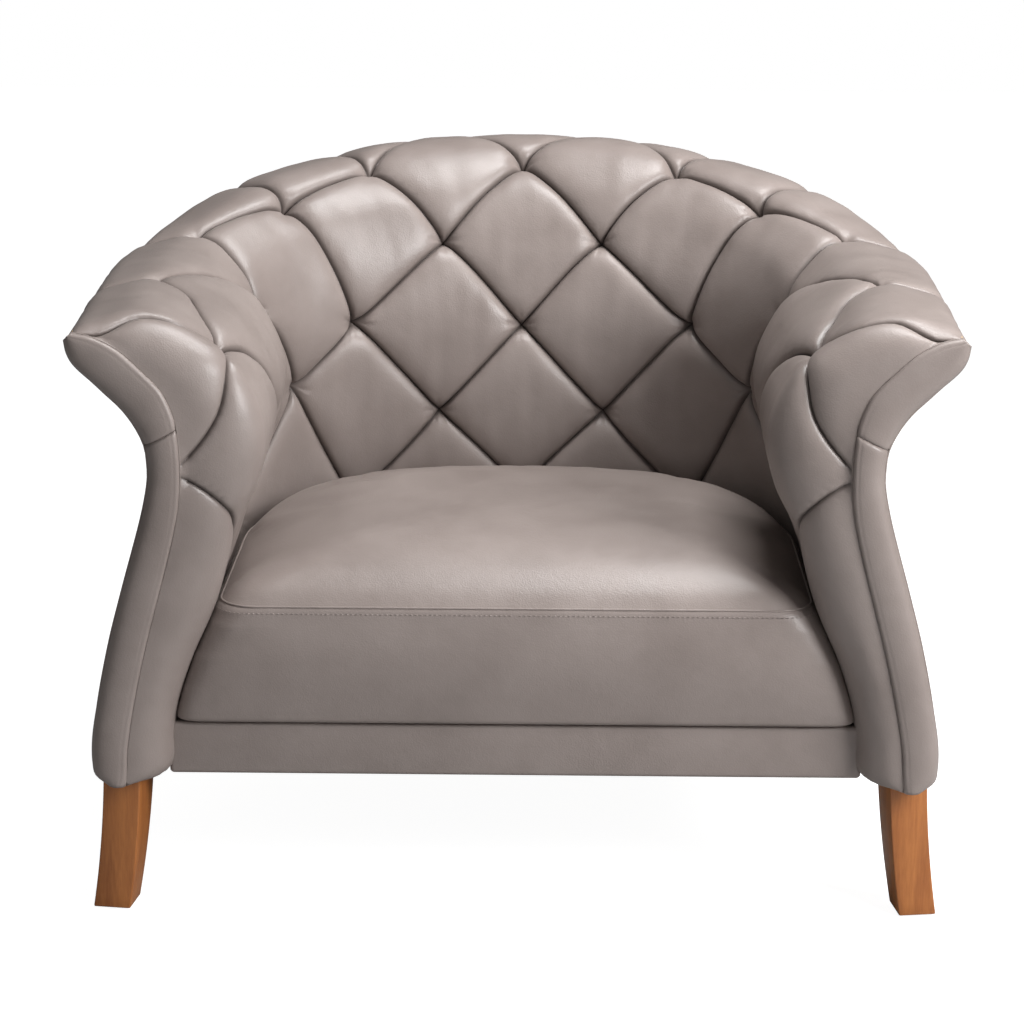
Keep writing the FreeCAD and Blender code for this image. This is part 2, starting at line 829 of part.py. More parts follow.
def clip(x, y):
    """Steel clip on a rail that wraps an end bar of a spring."""
    hold = spring_wire / 2 + hole_clearance
    wide = clip_width / 2
    deep = hold + clip_wall
    block = box(x - wide, x + wide, y - deep, y + deep, rail_top, rail_top + clip_height)
    across = Vector(clip_width, 0, 0)
    middle = Vector(x, y, spring_height)
    return block.cut(rod(hold, middle - across, middle + across))


def seat_suspension():
    start = front_y + front_rail_set_back + front_rail_thickness / 2
    end = front_y + spring_rail_set_back + spring_rail_thickness / 2
    clips = []
    for i in range(spring_count):
        x = ((spring_count - 1) / 2 - i) * spring_spacing
        save("seat_spring_" + str(i + 1), zigzag(x, start, end))
        clips += [clip(x, start), clip(x, end)]
    save("spring_clips", Part.makeCompound(clips))
    deck_front = front_rail_set_back
    save("seat_deck", tub_prism(rail_inner - gap, deck_front, deck_bottom, deck_top - gap))


def crown_reach(frame, height):
    """Reach of the padding beside the cushion at a height."""
    crown = arm_crown() if frame[2] == 0 else crown_in_back(frame)
    lower = crown[6:]
    for (r0, z0), (r1, z1) in zip(lower, lower[1:]):
        if height >= z1:
            break
    return r0 + (r1 - r0) * (z0 - height) / (z0 - z1)


def cushion_section(height, side, front):
    """Plan of the cushion at a height, drawn in at the sides and set back at the front."""
    points = []
    for angle in (0.0, 22.5, 45.0, 67.5, 90.0):
        frame = back_frame(angle)
        reach = crown_reach(frame, min(height, deck_top + cushion_border)) - side
        points.append(frame[0] + frame[1] * reach + UP * height)
    points += [Vector(-p.x, p.y, p.z) for p in reversed(points[:-1])]
    half = points[0].x
    start = front_y + front
    corner = min(cushion_corner, half * 0.5)
    slant = corner * (1 - math.sqrt(0.5))
    low_right = [Vector(half - corner, start, height), Vector(half - slant, start + slant, height),
                 Vector(half, start + corner, height)]
    low_left = [Vector(-p.x, p.y, p.z) for p in reversed(low_right)]
    edges = [line(low_left[2], low_right[0])] + arcs(low_right) + [line(low_right[2], points[0])]
    edges += arcs(points) + [line(points[-1], low_left[0])] + arcs(low_left)
    return Part.Wire(edges)


def seat_cushion():
    """Boxed cushion: border that swells a little, drawn in at its two seams, with a crowned top."""
    bottom = deck_top + gap
    seam = bottom + cushion_border
    levels = (
        (bottom, 7.0, 12.0),
        (bottom + cushion_border * 0.08, 1.0, 4.0),
        (bottom + cushion_border * 0.5, 0.0, 0.0),
        (seam - cushion_border * 0.1, 0.5, 6.0),
        (seam, 4.0, 14.0),
    )
    sections = [cushion_section(z, cushion_gap + s, cushion_front + f) for z, s, f in levels]
    plan = sections[-1]
    middle = Vector(0, plan.BoundBox.Center.y, seam)
    for lift, share in ((0.45, 0.955), (0.77, 0.85), (0.94, 0.64), (1.0, 0.35)):
        ring = plan.copy()
        ring.scale(share, middle)
        ring.translate(UP * cushion_crown * lift)
        sections.append(ring)
    return loft(sections)


wall_layers()
save("inside_back_pad", back_padding())
save_pair("inside_corner_pad", corner_padding())
save_pair("inside_arm_pad", arm_padding())
ribs_and_rim()
arm_front()
base_rails(legs_and_fixings())
base_covers()
seat_suspension()
save("seat_cushion", seat_cushion())
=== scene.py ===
"""Looks of the tufted tub armchair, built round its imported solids.

The frame is in metres. The sections of the tub are written in millimetres, as reach outward from the neck
line of the outside and height above the floor, and are placed in the frame by the functions below.
"""

import math

import bmesh
import bpy
import numpy as np
from mathutils import Matrix, Vector


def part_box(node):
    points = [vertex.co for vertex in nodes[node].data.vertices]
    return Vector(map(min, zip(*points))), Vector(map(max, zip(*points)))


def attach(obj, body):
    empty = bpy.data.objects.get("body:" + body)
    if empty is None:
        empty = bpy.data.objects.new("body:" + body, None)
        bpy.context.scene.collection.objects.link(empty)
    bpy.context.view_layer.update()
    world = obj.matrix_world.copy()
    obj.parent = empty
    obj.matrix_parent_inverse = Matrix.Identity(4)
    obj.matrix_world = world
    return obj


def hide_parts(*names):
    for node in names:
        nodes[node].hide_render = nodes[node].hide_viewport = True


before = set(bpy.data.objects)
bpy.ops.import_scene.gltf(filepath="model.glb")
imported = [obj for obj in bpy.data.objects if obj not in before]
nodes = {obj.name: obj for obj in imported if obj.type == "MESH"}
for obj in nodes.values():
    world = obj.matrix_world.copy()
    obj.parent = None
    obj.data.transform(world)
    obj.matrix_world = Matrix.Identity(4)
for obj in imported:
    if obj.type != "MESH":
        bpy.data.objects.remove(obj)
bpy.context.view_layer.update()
MM = 0.001

# Plan of the tub, as in the solids
NECK_HALF = 438.0
ARM_LENGTH = 350.0
BACK_DEPTH = 385.0
FRONT = -413.5
CORNER_THINNING = 0.32
THINNING_PEAK = 8.1
THINNING_SKEW = 2.5
BASE_TOP = 246.0
BASE_CLEAR = 1.0
TIP_HEIGHT = 742.0
BACK_RISE = 118.0
# How far the rim has climbed, at girths from the middle of the back to the arm front
RIM_CLIMB = (
    (0, 126), (70, 124), (130, 119), (221, 99), (299, 80), (360, 59), (410, 40), (450, 27), (500, 19),
    (553, 16), (640, 13), (735, 9), (800, 3), (843, 0), (939, 0),
)
# How the timber rim climbs, in two stages: part of the climb, where on the bend it starts and how far it
# goes, in degrees
FRAME_STAGES = ((0.55, 8, 42), (0.45, 26, 64))

# The nose of the arm padding, from the facing seam back to the full section
NOSE_DEPTH = 60.0
NOSE_START = 4.0
NOSE_GIRTH = 96.0
BEND_GIRTH = 553.0
ARM_GIRTH = BEND_GIRTH + ARM_LENGTH - NOSE_DEPTH
GIRTH = ARM_GIRTH + NOSE_GIRTH
# The padding reaches lower at the arm front than behind it
ARM_FOOT = 177.0
ARM_FOOT_BEHIND = 30.0

# Crown of the padding at the arm and at the middle of the back, from the rim edge down to the foot
ARM_CROWN = (
    (88, 716), (92.5, 730), (82, 747), (52, 757), (14, 763), (-25, 755), (-61, 736), (-97, 711), (-118, 680),
    (-134, 642), (-139, 600), (-128, 550), (-107, 501), (-72, 394), (-42, 325), (-25, 272), (-19, 232),
    (-19, 204), (-13, 187), (30, 175),
)
BACK_CROWN = (
    (88, 830), (92.5, 847), (82, 865), (52, 873), (14, 876), (-20, 868), (-46, 850), (-75, 818), (-95, 781),
    (-112, 738), (-125, 691), (-137, 645), (-144, 601), (-153, 501), (-158, 394), (-158, 340), (-158, 300),
    (-158, 270), (-150, 252), (-100, 247),
)
# Seam between the facing and the padding, which is also the inside of the wall
SEAM = (
    (88, 716), (91, 732), (81, 740), (58, 735), (30, 721), (2, 696), (-14, 680), (-23, 668), (-35, 638),
    (-39, 606), (-40, 566), (-37, 528), (-25, 473), (-8, 410), (10, 341), (25, 271), (32, 227), (34, 200),
    (36, 185), (37, 179),
)
# Outside of the wall, from the rim edge down to the base
OUTSIDE = (
    (88, 722), (83, 704), (50.5, 669.5), (28.5, 648), (12.5, 625), (3, 603), (0.5, 581), (0.5, 564),
    (7.5, 526), (35.5, 426), (52.5, 363), (68.5, 287), (75.5, 236), (75.5, 205), (71.5, 188), (60, 179),
)

# Tufts: girth from the middle of the back, share of the way down the crown, depth
TUFTS = {
    "top_mid": (0, 0.203, 34), "top_side": (190, 0.18, 32), "upper_mid": (112, 0.345, 34),
    "upper_corner": (316, 0.201, 34), "centre": (0, 0.489, 34), "centre_side": (255, 0.451, 34),
    "lower_mid": (135, 0.63, 32), "corner": (350, 0.527, 26), "rim_corner": (442, 0.13, 22),
    "corner_arm": (446, 0.336, 32), "arm_top": (677, 0.13, 16), "arm_front": (812, 0.268, 36),
    "arm_inner": (610, 0.49, 24), "seat_mid": (0, 0.76, 22), "seat_side": (254, 0.765, 22),
    "seat_corner": (455, 0.70, 20), "seat_arm": (740, 0.67, 14), "seam_top": (939, 0.074, 8),
    "seam_neck": (939, 0.379, 8), "seam_low": (939, 0.401, 8), "rim_1": (82, 0.03, 8),
    "rim_2": (196, 0.03, 8), "rim_3": (309, 0.03, 8), "rim_4": (470, 0.03, 8), "rim_5": (700, 0.03, 7),
}
# Creases between tufts, how deep each runs halfway, and places that a curved one passes
CREASES = (
    ("top_mid", "upper_mid", 16), ("top_mid", "rim_1", 12), ("top_side", "rim_1", 12),
    ("top_side", "upper_mid", 16), ("top_side", "rim_2", 12), ("top_side", "upper_corner", 15),
    ("upper_corner", "rim_3", 12), ("upper_mid", "centre", 16), ("upper_mid", "centre_side", 16),
    ("upper_corner", "centre_side", 16), ("centre", "lower_mid", 16), ("centre_side", "lower_mid", 16),
    ("centre_side", "corner", 15), ("lower_mid", "seat_mid", 14), ("lower_mid", "seat_side", 14),
    ("corner", "seat_side", 14), ("corner", "seat_corner", 13), ("upper_corner", "rim_corner", 14),
    ("rim_corner", "rim_4", 10), ("rim_corner", "corner_arm", 14, (444, 0.2), (448, 0.25)),
    ("corner_arm", "corner", 14, (408, 0.385), (372, 0.465)), ("corner_arm", "arm_inner", 14),
    ("arm_top", "corner_arm", 13, (620, 0.165), (560, 0.215)), ("arm_top", "rim_5", 9),
    ("arm_top", "arm_front", 14, (718, 0.19), (768, 0.224)), ("arm_front", "arm_inner", 14, (725, 0.335)),
    ("arm_inner", "seat_corner", 13), ("arm_inner", "seat_arm", 12),
    ("arm_front", "seam_neck", 12, (856, 0.286), (881, 0.305), (905, 0.338)),
    ("seam_top", "arm_front", 11, (869, 0.128), (846, 0.195)),
    ("seam_low", "seat_arm", 10, (927, 0.429), (891, 0.503), (840, 0.57)),
)


# Shapes of the tub

CURVE_STEPS = 24
CLIMB_SAMPLES = 400
CROWN_SAMPLES = 141
STATIONS = 261


def smooth_line(points, samples):
    """Smooth line through points, as samples an even length apart."""
    p = np.array(points, float)
    p = np.vstack([2 * p[0] - p[1], p, 2 * p[-1] - p[-2]])
    runs = []
    for i in range(1, len(p) - 2):
        a, b, c, d = p[i - 1:i + 3]
        k0 = 0.0
        k1 = k0 + np.linalg.norm(b - a) ** 0.5
        k2 = k1 + np.linalg.norm(c - b) ** 0.5
        k3 = k2 + np.linalg.norm(d - c) ** 0.5
        t = np.linspace(k1, k2, CURVE_STEPS, endpoint=False)[:, None]
        ab = ((k1 - t) * a + (t - k0) * b) / (k1 - k0)
        bc = ((k2 - t) * b + (t - k1) * c) / (k2 - k1)
        cd = ((k3 - t) * c + (t - k2) * d) / (k3 - k2)
        abc = ((k2 - t) * ab + (t - k0) * bc) / (k2 - k0)
        bcd = ((k3 - t) * bc + (t - k1) * cd) / (k3 - k1)
        runs.append(((k2 - t) * abc + (t - k1) * bcd) / (k2 - k1))
    line = np.vstack(runs + [p[-2:-1]])
    length = np.concatenate([[0], np.cumsum(np.linalg.norm(np.diff(line, axis=0), axis=1))])
    even = np.linspace(0, length[-1], samples)
    return np.stack([np.interp(even, length, line[:, k]) for k in range(line.shape[1])], 1)


CLIMB_LINE = smooth_line(RIM_CLIMB, CLIMB_SAMPLES)


def rim_climb(girth):
    """How far the rim has climbed at a girth, as a share of its climb to the back."""
    return float(np.interp(girth, CLIMB_LINE[:, 0], CLIMB_LINE[:, 1])) / BACK_RISE


def climbed(share):
    """Share of a climb that starts and ends softly."""
    share = min(1.0, max(0.0, share))
    return share ** 3 * (10 - 15 * share + 6 * share * share)


def frame_climb(girth):
    """How far the timber rim has climbed at a girth, as a share of its climb to the back."""
    degrees = 90 * max(0.0, 1 - girth / BEND_GIRTH)
    return sum(part * climbed((degrees - start) / span) for part, start, span in FRAME_STAGES)


def lifted(points, rise):
    """Wall points raised towards the middle of the back."""
    p = np.array(points, float)
    p[:, 1] += BACK_RISE * rise * np.clip(p[:, 1] - BASE_TOP, 0, None) / (TIP_HEIGHT - BASE_TOP)
    return p


def station(girth):
    """Section of the tub at a girth: its origin, outward direction, crown and wall lines."""
    rise = rim_climb(girth)
    crown, wall = np.array(ARM_CROWN, float), lifted(SEAM, rise)
    outward = np.array((1.0, 0.0))
    if girth <= BEND_GIRTH:
        turn = math.pi / 2 * (1 - girth / BEND_GIRTH)
        outward = np.array((math.cos(turn), math.sin(turn)))
        origin = np.array((NECK_HALF * outward[0], FRONT + ARM_LENGTH + BACK_DEPTH * outward[1]))
        share = math.degrees(turn) / 90
        fill = share * share * (3 - 2 * share)
        thin = 1 - CORNER_THINNING * THINNING_PEAK * share * (1 - share) ** THINNING_SKEW
        crown = crown + (np.array(BACK_CROWN, float) - crown) * (fill, rise)
        crown[:, 0] = np.where(crown[:, 0] < 0, crown[:, 0] * thin, crown[:, 0])
        return origin, outward, crown, wall
    crown = crown + (np.array(BACK_CROWN, float) - crown) * (0, rise)
    if girth <= ARM_GIRTH:
        origin = np.array((NECK_HALF, FRONT + ARM_LENGTH - (girth - BEND_GIRTH)))
    else:
        turn = math.pi / 2 * (1 - (girth - ARM_GIRTH) / NOSE_GIRTH)
        set_back = NOSE_DEPTH - (NOSE_DEPTH - NOSE_START) * math.cos(turn)
        origin = np.array((NECK_HALF, FRONT + set_back))
        crown = wall + (crown - wall) * math.sin(turn)
    return origin, outward, crown, wall


def placed(origin, outward, line):
    """Points of a section line, placed at a station."""
    return np.stack([origin[0] + outward[0] * line[:, 0], origin[1] + outward[1] * line[:, 0], line[:, 1]], 1)


def tub_tables():
    """Points of the crown and of the wall behind it, from the left arm front round to the right."""
    crowns, walls = [], []
    for girth in np.linspace(0, GIRTH, STATIONS):
        origin, outward, crown, wall = station(girth)
        crown = placed(origin, outward, smooth_line(crown, CROWN_SAMPLES))
        wall = placed(origin, outward, smooth_line(wall, CROWN_SAMPLES))
        foot = ARM_FOOT if girth > ARM_GIRTH - ARM_FOOT_BEHIND else BASE_TOP + BASE_CLEAR
        for part in (crown, wall):
            part[:, 2] = np.maximum(part[:, 2], foot)
        crowns.append(crown)
        walls.append(wall)
    halves = []
    for half in (np.array(crowns), np.array(walls)):
        halves.append(np.concatenate([half[:0:-1] * (-1, 1, 1), half]))
    return halves


def steps(t):
    """Weights of the four neighbours of a place between two table points."""
    return (
        -0.5 * t ** 3 + t ** 2 - 0.5 * t, 1.5 * t ** 3 - 2.5 * t ** 2 + 1,
        -1.5 * t ** 3 + 2 * t ** 2 + 0.5 * t, 0.5 * t ** 3 - 0.5 * t ** 2,
    )


def sampled(table, girth, share):
    """Smooth values of a table at girths and shares of the crown."""
    u = (girth / GIRTH + 1) / 2 * (table.shape[0] - 1)
    v = np.clip(share, 0, 1) * (table.shape[1] - 1)
    i = np.clip(np.floor(u).astype(int), 0, table.shape[0] - 2)
    j = np.clip(np.floor(v).astype(int), 0, table.shape[1] - 2)
    across, down = steps(u - i), steps(v - j)
    total = 0.0
    for a in range(4):
        rows = np.clip(i + a - 1, 0, table.shape[0] - 1)
        for b in range(4):
            columns = np.clip(j + b - 1, 0, table.shape[1] - 1)
            total = total + (across[a] * down[b])[:, None] * table[rows, columns]
    return total


crown_table, wall_table = tub_tables()
round_run = np.gradient(crown_table, axis=0)
down_run = np.gradient(crown_table, axis=1)
normal_table = np.cross(down_run, round_run)
normal_table /= np.linalg.norm(normal_table, axis=2, keepdims=True) + 1e-9


# Creases and tufts on the crown

CROWN_LENGTH = 740.0
CREASE_SAMPLES = 17
CREASE_END = 0.7
CREASE_REACH = 170.0
# How creases that meet are evened out, by distance and by depth
MEETING_NEAR, MEETING_FALL = 0.05, 2.4
DEPTH_NEAR, DEPTH_FALL = 1.0, 4.0
SIDE_NEAR = 0.5


def crease_lines():
    """Each crease as points on the crown, with its depth at each point."""
    lines = []
    for first, second, halfway, *guides in CREASES:
        a, b = TUFTS[first], TUFTS[second]
        route = np.array([a[:2]] + list(guides) + [b[:2]], float) * (1, CROWN_LENGTH)
        route = smooth_line(route, CREASE_SAMPLES)
        share = np.linspace(0, 1, CREASE_SAMPLES)
        ends = CREASE_END * (a[2] + (b[2] - a[2]) * share)
        depth = ends + (halfway - ends) * 4 * share * (1 - share)
        points = sampled(crown_table, route[:, 0], route[:, 1] / CROWN_LENGTH)
        lines.append((points, depth))
        if a[0] or b[0]:
            lines.append((points * (-1, 1, 1), depth))
    return lines


def tuft_points():
    """Place and depth of every tuft, on both halves of the tub."""
    points, depths = [], []
    for girth, share, depth in TUFTS.values():
        for side in ((1, -1) if girth else (1,)):
            points.append(sampled(crown_table, np.array([side * float(girth)]), np.array([share]))[0])
            depths.append(depth)
    return np.array(points), np.array(depths, float)


CREASE_LINES = crease_lines()
TUFT_POINTS, TUFT_DEPTHS = tuft_points()


def distance_to(points, line):
    """Distance of points to a line of segments, share along it and rise above it at the nearest place."""
    a, b = line[:-1], line[1:]
    run = b - a
    offset = points[:, None] - a
    along = np.clip((offset * run).sum(2) / ((run * run).sum(1) + 1e-9), 0, 1)
    away = offset - along[..., None] * run
    apart = np.linalg.norm(away, axis=2)
    nearest = apart.argmin(1)
    rows = np.arange(len(points))
    share = (nearest + along[rows, nearest]) / len(run)
    return apart[rows, nearest], share, away[rows, nearest, 2]


def crease_fields(points):
    """For points on the crown: distance to the nearest crease and to all of them evened out, crease depth
    there, and which side of the crease the point is on."""
    nearest = np.full(len(points), CREASE_REACH)
    side = np.zeros(len(points))
    closeness = np.full(len(points), 1e-9)
    weight = np.full(len(points), 1e-12)
    depth = np.zeros(len(points))
    for line, line_depth in CREASE_LINES:
        middle = (line[0] + line[-1]) / 2
        reach = CREASE_REACH + np.linalg.norm(line - middle, axis=1).max()
        near = np.nonzero(np.linalg.norm(points - middle, axis=1) < reach)[0]
        if not len(near):
            continue
        apart, share, rise = distance_to(points[near], line)
        closer = apart < nearest[near]
        nearest[near] = np.where(closer, apart, nearest[near])
        side[near] = np.where(closer, rise / (apart + SIDE_NEAR), side[near])
        closeness[near] += (apart + MEETING_NEAR) ** -MEETING_FALL
        pull = (apart + DEPTH_NEAR) ** -DEPTH_FALL
        weight[near] += pull
        depth[near] += pull * np.interp(share, np.linspace(0, 1, len(line)), line_depth)
    return nearest, closeness ** (-1 / MEETING_FALL), depth / weight, np.clip(side, -1, 1)


# Meshes

WELD = 0.02 * MM


def shaded_smooth(mesh):
    mesh.polygons.foreach_set("use_smooth", np.ones(len(mesh.polygons), bool))


def mesh_of(name, bm):
    """Mesh of a finished bmesh, shaded smooth."""
    mesh = bpy.data.meshes.new(name)
    bm.to_mesh(mesh)
    bm.free()
    shaded_smooth(mesh)
    return mesh


def piece(name, mesh, body, material, slot, *replaced):
    """A finished piece of the chair, riding on a body and standing for its CAD nodes."""
    obj = bpy.data.objects.new(name, mesh)
    bpy.context.scene.collection.objects.link(obj)
    mesh.materials.clear()
    mesh.materials.append(material)
    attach(obj, body)
    if replaced:
        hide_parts(*replaced)
    return obj


def coordinates(mesh):
    co = np.zeros(len(mesh.vertices) * 3)
    mesh.vertices.foreach_get("co", co)
    return co.reshape(-1, 3)


def set_coordinates(mesh, co):
    mesh.vertices.foreach_set("co", np.asarray(co, np.float32).ravel())
    mesh.update()


def set_values(mesh, name, values):
    attribute = mesh.attributes.new(name, "FLOAT", "POINT")
    attribute.data.foreach_set("value", np.asarray(values, np.float32))


# Tufted padding round the whole inside of the tub

CROWN_ROWS = 118
CROWN_END = 0.999
WALL_ROWS = 10
ROUND_CELLS = 268
# The grid is halved within these distances of a crease, and twice as far round a deep tuft
REFINED_WITHIN = (12.0, 6.5, 2.8)
TUFT_REFINED = 2
DEEP_TUFT = 10
# How a puff falls into its creases: near turn and wide swell, with their shares of the depth
PUFF_TURN, TURN_SHARE = 6.0, 0.55
PUFF_SWELL, SWELL_SHARE = 34.0, 0.45
TUFT_PULL, TUFT_SPREAD, TUFT_POINT = 0.45, 10.0, 1.2
# Sewn line at the bottom of a crease, and the lip of the puff above it
LINE_DEPTH, LINE_WIDTH = 2.0, 1.6
LIP_HEIGHT, LIP_AWAY, LIP_WIDTH = 1.5, 4.5, 3.0
# The folds flatten out at the facing seam and at the rim
SEAM_FOLDS, SEAM_EASE = 0.25, 8.0
RIM_EASE = 0.02
# Shade down in the folds
SHADE_WIDTH, SHADE_DEPTH = 1.7, 8.0
# Pleats round a tuft: how many, shift from tuft to tuft, strength
PLEATS = ((9, 1.7, 1.0), (14, 0.9, 0.6))
PLEAT_HEIGHT, PLEAT_AWAY, PLEAT_SPREAD = 0.75, 15, 8.0
PLEAT_SLANT = 0.3
# Slack of the hide, in two trains of waves: strength, wave, sway with its length and shift, then the patches
# where the waves come and go, with their slant and shift
SLACK = ((1.0, 8.6, 1.3, 47.0, 0.0, 61.0, 53.0, 0.0), (0.7, 5.3, 2.0, 71.0, 1.0, 43.0, -37.0, 0.7))
SLACK_HEIGHT = 0.34


def flat_padding():
    """Flat grid for the padding: x is the girth, y the share of the crown up to 1, then the wall behind."""
    bm = bmesh.new()
    rows = CROWN_ROWS + WALL_ROWS
    bmesh.ops.create_grid(bm, x_segments=ROUND_CELLS, y_segments=rows, size=1.0)
    for v in bm.verts:
        row = (v.co.y + 1) / 2 * rows
        down = row / CROWN_ROWS if row <= CROWN_ROWS else 1 + (row - CROWN_ROWS) / WALL_ROWS
        v.co = (v.co.x * GIRTH, down, 0)
    for reach in REFINED_WITHIN:
        flat = np.array([v.co[:2] for v in bm.verts])
        on_crown = flat[:, 1] < CROWN_END
        near = np.zeros(len(flat), bool)
        base = sampled(crown_table, flat[on_crown, 0], flat[on_crown, 1])
        apart = np.linalg.norm(base[:, None] - TUFT_POINTS[TUFT_DEPTHS > DEEP_TUFT], axis=2).min(1)
        near[on_crown] = (crease_fields(base)[0] < reach) | (apart < reach * TUFT_REFINED)
        bm.verts.index_update()
        edges = [e for e in bm.edges if near[e.verts[0].index] and near[e.verts[1].index]]
        bmesh.ops.subdivide_edges(bm, edges=edges, cuts=1, use_grid_fill=True)
    return bm


def gathers(offset, apart, seed):
    """Small pleats that fan out from a tuft."""
    x, y, z = offset.T
    turn = np.arctan2(z, np.hypot(x, y) * np.sign(x + PLEAT_SLANT * y))
    fan = sum(strength * np.sin(count * turn + shift * seed) for count, shift, strength in PLEATS)
    return PLEAT_HEIGHT * fan * np.exp(-((apart - PLEAT_AWAY) / PLEAT_SPREAD) ** 2)


def waves(girth, down):
    """Soft slack of the hide over the puffs."""
    high = down * CROWN_LENGTH
    slack = 0.0
    for strength, wave, sway, length, shift, patch, slant, start in SLACK:
        swayed = girth / wave + sway * np.sin(high / length + shift)
        slack = slack + strength * np.sin(swayed) * np.sin(high / patch + girth / slant + start)
    return SLACK_HEIGHT * slack


def padded_tub(material):
    """The tufted inside of arms, corners and back, as one padded piece."""
    mesh = mesh_of("tufted_padding", flat_padding())
    flat = coordinates(mesh)
    girth, down = flat[:, 0], flat[:, 1]
    front = down <= 1.0
    co = np.zeros_like(flat)
    base = sampled(crown_table, girth[front], down[front])
    normal = sampled(normal_table, girth[front], down[front])
    normal /= np.linalg.norm(normal, axis=1, keepdims=True) + 1e-9
    nearest, evened, depth, side = crease_fields(base)
    sink = depth * (TURN_SHARE * np.exp(-evened / PUFF_TURN) + SWELL_SHARE * np.exp(-evened / PUFF_SWELL))
    for i, (point, tuft) in enumerate(zip(TUFT_POINTS, TUFT_DEPTHS)):
        apart = np.linalg.norm(base - point, axis=1)
        sink += TUFT_PULL * tuft * np.exp(-(apart / TUFT_SPREAD) ** TUFT_POINT)
        if tuft > DEEP_TUFT:
            sink += gathers(base - point, apart, i)
    sink += waves(girth[front], down[front])
    sink += LINE_DEPTH * np.exp(-(nearest / LINE_WIDTH) ** 2)
    sink -= LIP_HEIGHT * np.exp(-((nearest - LIP_AWAY) / LIP_WIDTH) ** 2) * np.clip(side, 0, 1)
    ease = np.clip(SEAM_FOLDS + (GIRTH - np.abs(girth[front])) / SEAM_EASE, 0, 1)
    ease = ease * np.clip(down[front] / RIM_EASE, 0, 1)
    co[front] = base - normal * (sink * ease)[:, None]
    co[~front] = sampled(wall_table, girth[~front], 2 - down[~front])
    set_coordinates(mesh, co * MM)
    # Painted shade: how far the crease colour darkens the hide near a crease, by closeness and crease depth
    painted_crease_shade = np.zeros(len(co))
    painted_crease_shade[front] = np.exp(-nearest / SHADE_WIDTH) * np.clip(depth / SHADE_DEPTH, 0, 1)
    set_values(mesh, "painted_crease_shade", painted_crease_shade)
    bm = bmesh.new()
    bm.from_mesh(mesh)
    bmesh.ops.remove_doubles(bm, verts=bm.verts, dist=WELD)
    many_sided = [face for face in bm.faces if len(face.verts) > 4]
    bmesh.ops.triangulate(bm, faces=many_sided, quad_method="BEAUTY", ngon_method="BEAUTY")
    bmesh.ops.recalc_face_normals(bm, faces=bm.faces)
    bm.to_mesh(mesh)
    bm.free()
    shaded_smooth(mesh)
    pads = ["inside_back_pad"]
    pads += [part + side for part in ("inside_corner_pad", "inside_arm_pad") for side in ("_left", "_right")]
    obj = piece("tufted_padding", mesh, "chair", material, "taupe_leather", *pads)


# Cords and stitches

STITCH_PITCH = 6.0 * MM
STITCH_HALF = 2.1 * MM
STITCH_RADIUS = 0.55 * MM


def tube(points, radius, closed):
    """Round cord along points."""
    curve = bpy.data.curves.new("path", "CURVE")
    curve.dimensions = "3D"
    curve.bevel_depth = radius
    curve.bevel_resolution = 2
    curve.use_fill_caps = True
    spline = curve.splines.new("POLY")
    spline.points.add(len(points) - 1)
    for knot, place in zip(spline.points, points):
        knot.co = (*place, 1.0)
    spline.use_cyclic_u = closed
    work = bpy.data.objects.new("work", curve)
    bpy.context.scene.collection.objects.link(work)
    bpy.context.view_layer.update()
    mesh = bpy.data.meshes.new_from_object(work.evaluated_get(bpy.context.evaluated_depsgraph_get()))
    bpy.data.objects.remove(work)
    shaded_smooth(mesh)
    return mesh


def stitch_row(name, points, facing, body, material, slot):
    """Row of short raised stitches along points, each lying on a surface that faces one way."""
    bm = bmesh.new()
    length = np.concatenate([[0], np.cumsum(np.linalg.norm(np.diff(points, axis=0), axis=1))])
    count = int(length[-1] / STITCH_PITCH)
    places = np.linspace(0, length[-1], count)
    spots = np.stack([np.interp(places, length, points[:, k]) for k in range(3)], 1)
    ways = np.stack([np.interp(places, length, facing[:, k]) for k in range(3)], 1)
    for i in range(1, count - 1):
        along = Vector(spots[i + 1] - spots[i - 1]).normalized()
        up = Vector(ways[i]).normalized()
        across = up.cross(along).normalized()
        axes = (along * STITCH_HALF, across * STITCH_RADIUS, up * STITCH_RADIUS)
        shape = Matrix(axes).transposed().to_4x4()
        shape.translation = Vector(spots[i])
        bmesh.ops.create_icosphere(bm, subdivisions=1, radius=1.0, matrix=shape)
    piece(name, mesh_of(name, bm), body, material, slot)


# Arm fronts

UPPER_OUTER = ((94.5, 731), (91.5, 715), (84, 701), (49.5, 669), (28, 648), (12, 625), (2.5, 605))
UPPER_INNER = ((83, 742), (58, 735.5), (30, 721), (2, 696), (-14, 680), (-23, 668), (-35, 638), (-37, 625))
LOWER_OUTER = (
    (2.5, 605), (0, 585), (0, 564), (7, 526), (35, 426), (52, 363), (68.5, 287), (77, 236), (77.5, 206),
    (74.5, 190), (60, 178),
)
LOWER_INNER = (
    (-37, 625), (-39, 606), (-40, 566), (-37, 528), (-25, 473), (-8, 410), (10, 341), (25, 271), (32, 227),
    (34, 195), (36, 178),
)
FACING_ROWS = 96
FACING_COLUMNS = 30
FACING_FRONT = 1.2
FACING_THICKNESS = 6.0
# How far the facing swells in the middle and sinks at its edges, each with its reach
FACING_SWELL, SWELL_BLUNTNESS = 4.5, 0.8
EDGE_ROUND, EDGE_REACH = 10.0, 5.0
SEAM_SINK, CROSS_SINK, SINK_REACH = 4.4, 1.8, 1.5
STITCH_SINK, STITCH_SINK_REACH = 0.4, 1.2
STITCH_FROM_SEAM, STITCH_PROUD = 7.5, 0.6
# Points along the facing seam, and those at its top and foot that are left without a stitch
SEAM_SAMPLES, UNSTITCHED_TOP, UNSTITCHED_FOOT = 240, 14, 4
CORD_SET_BACK, CORD_RADIUS = 5.2, 0.9


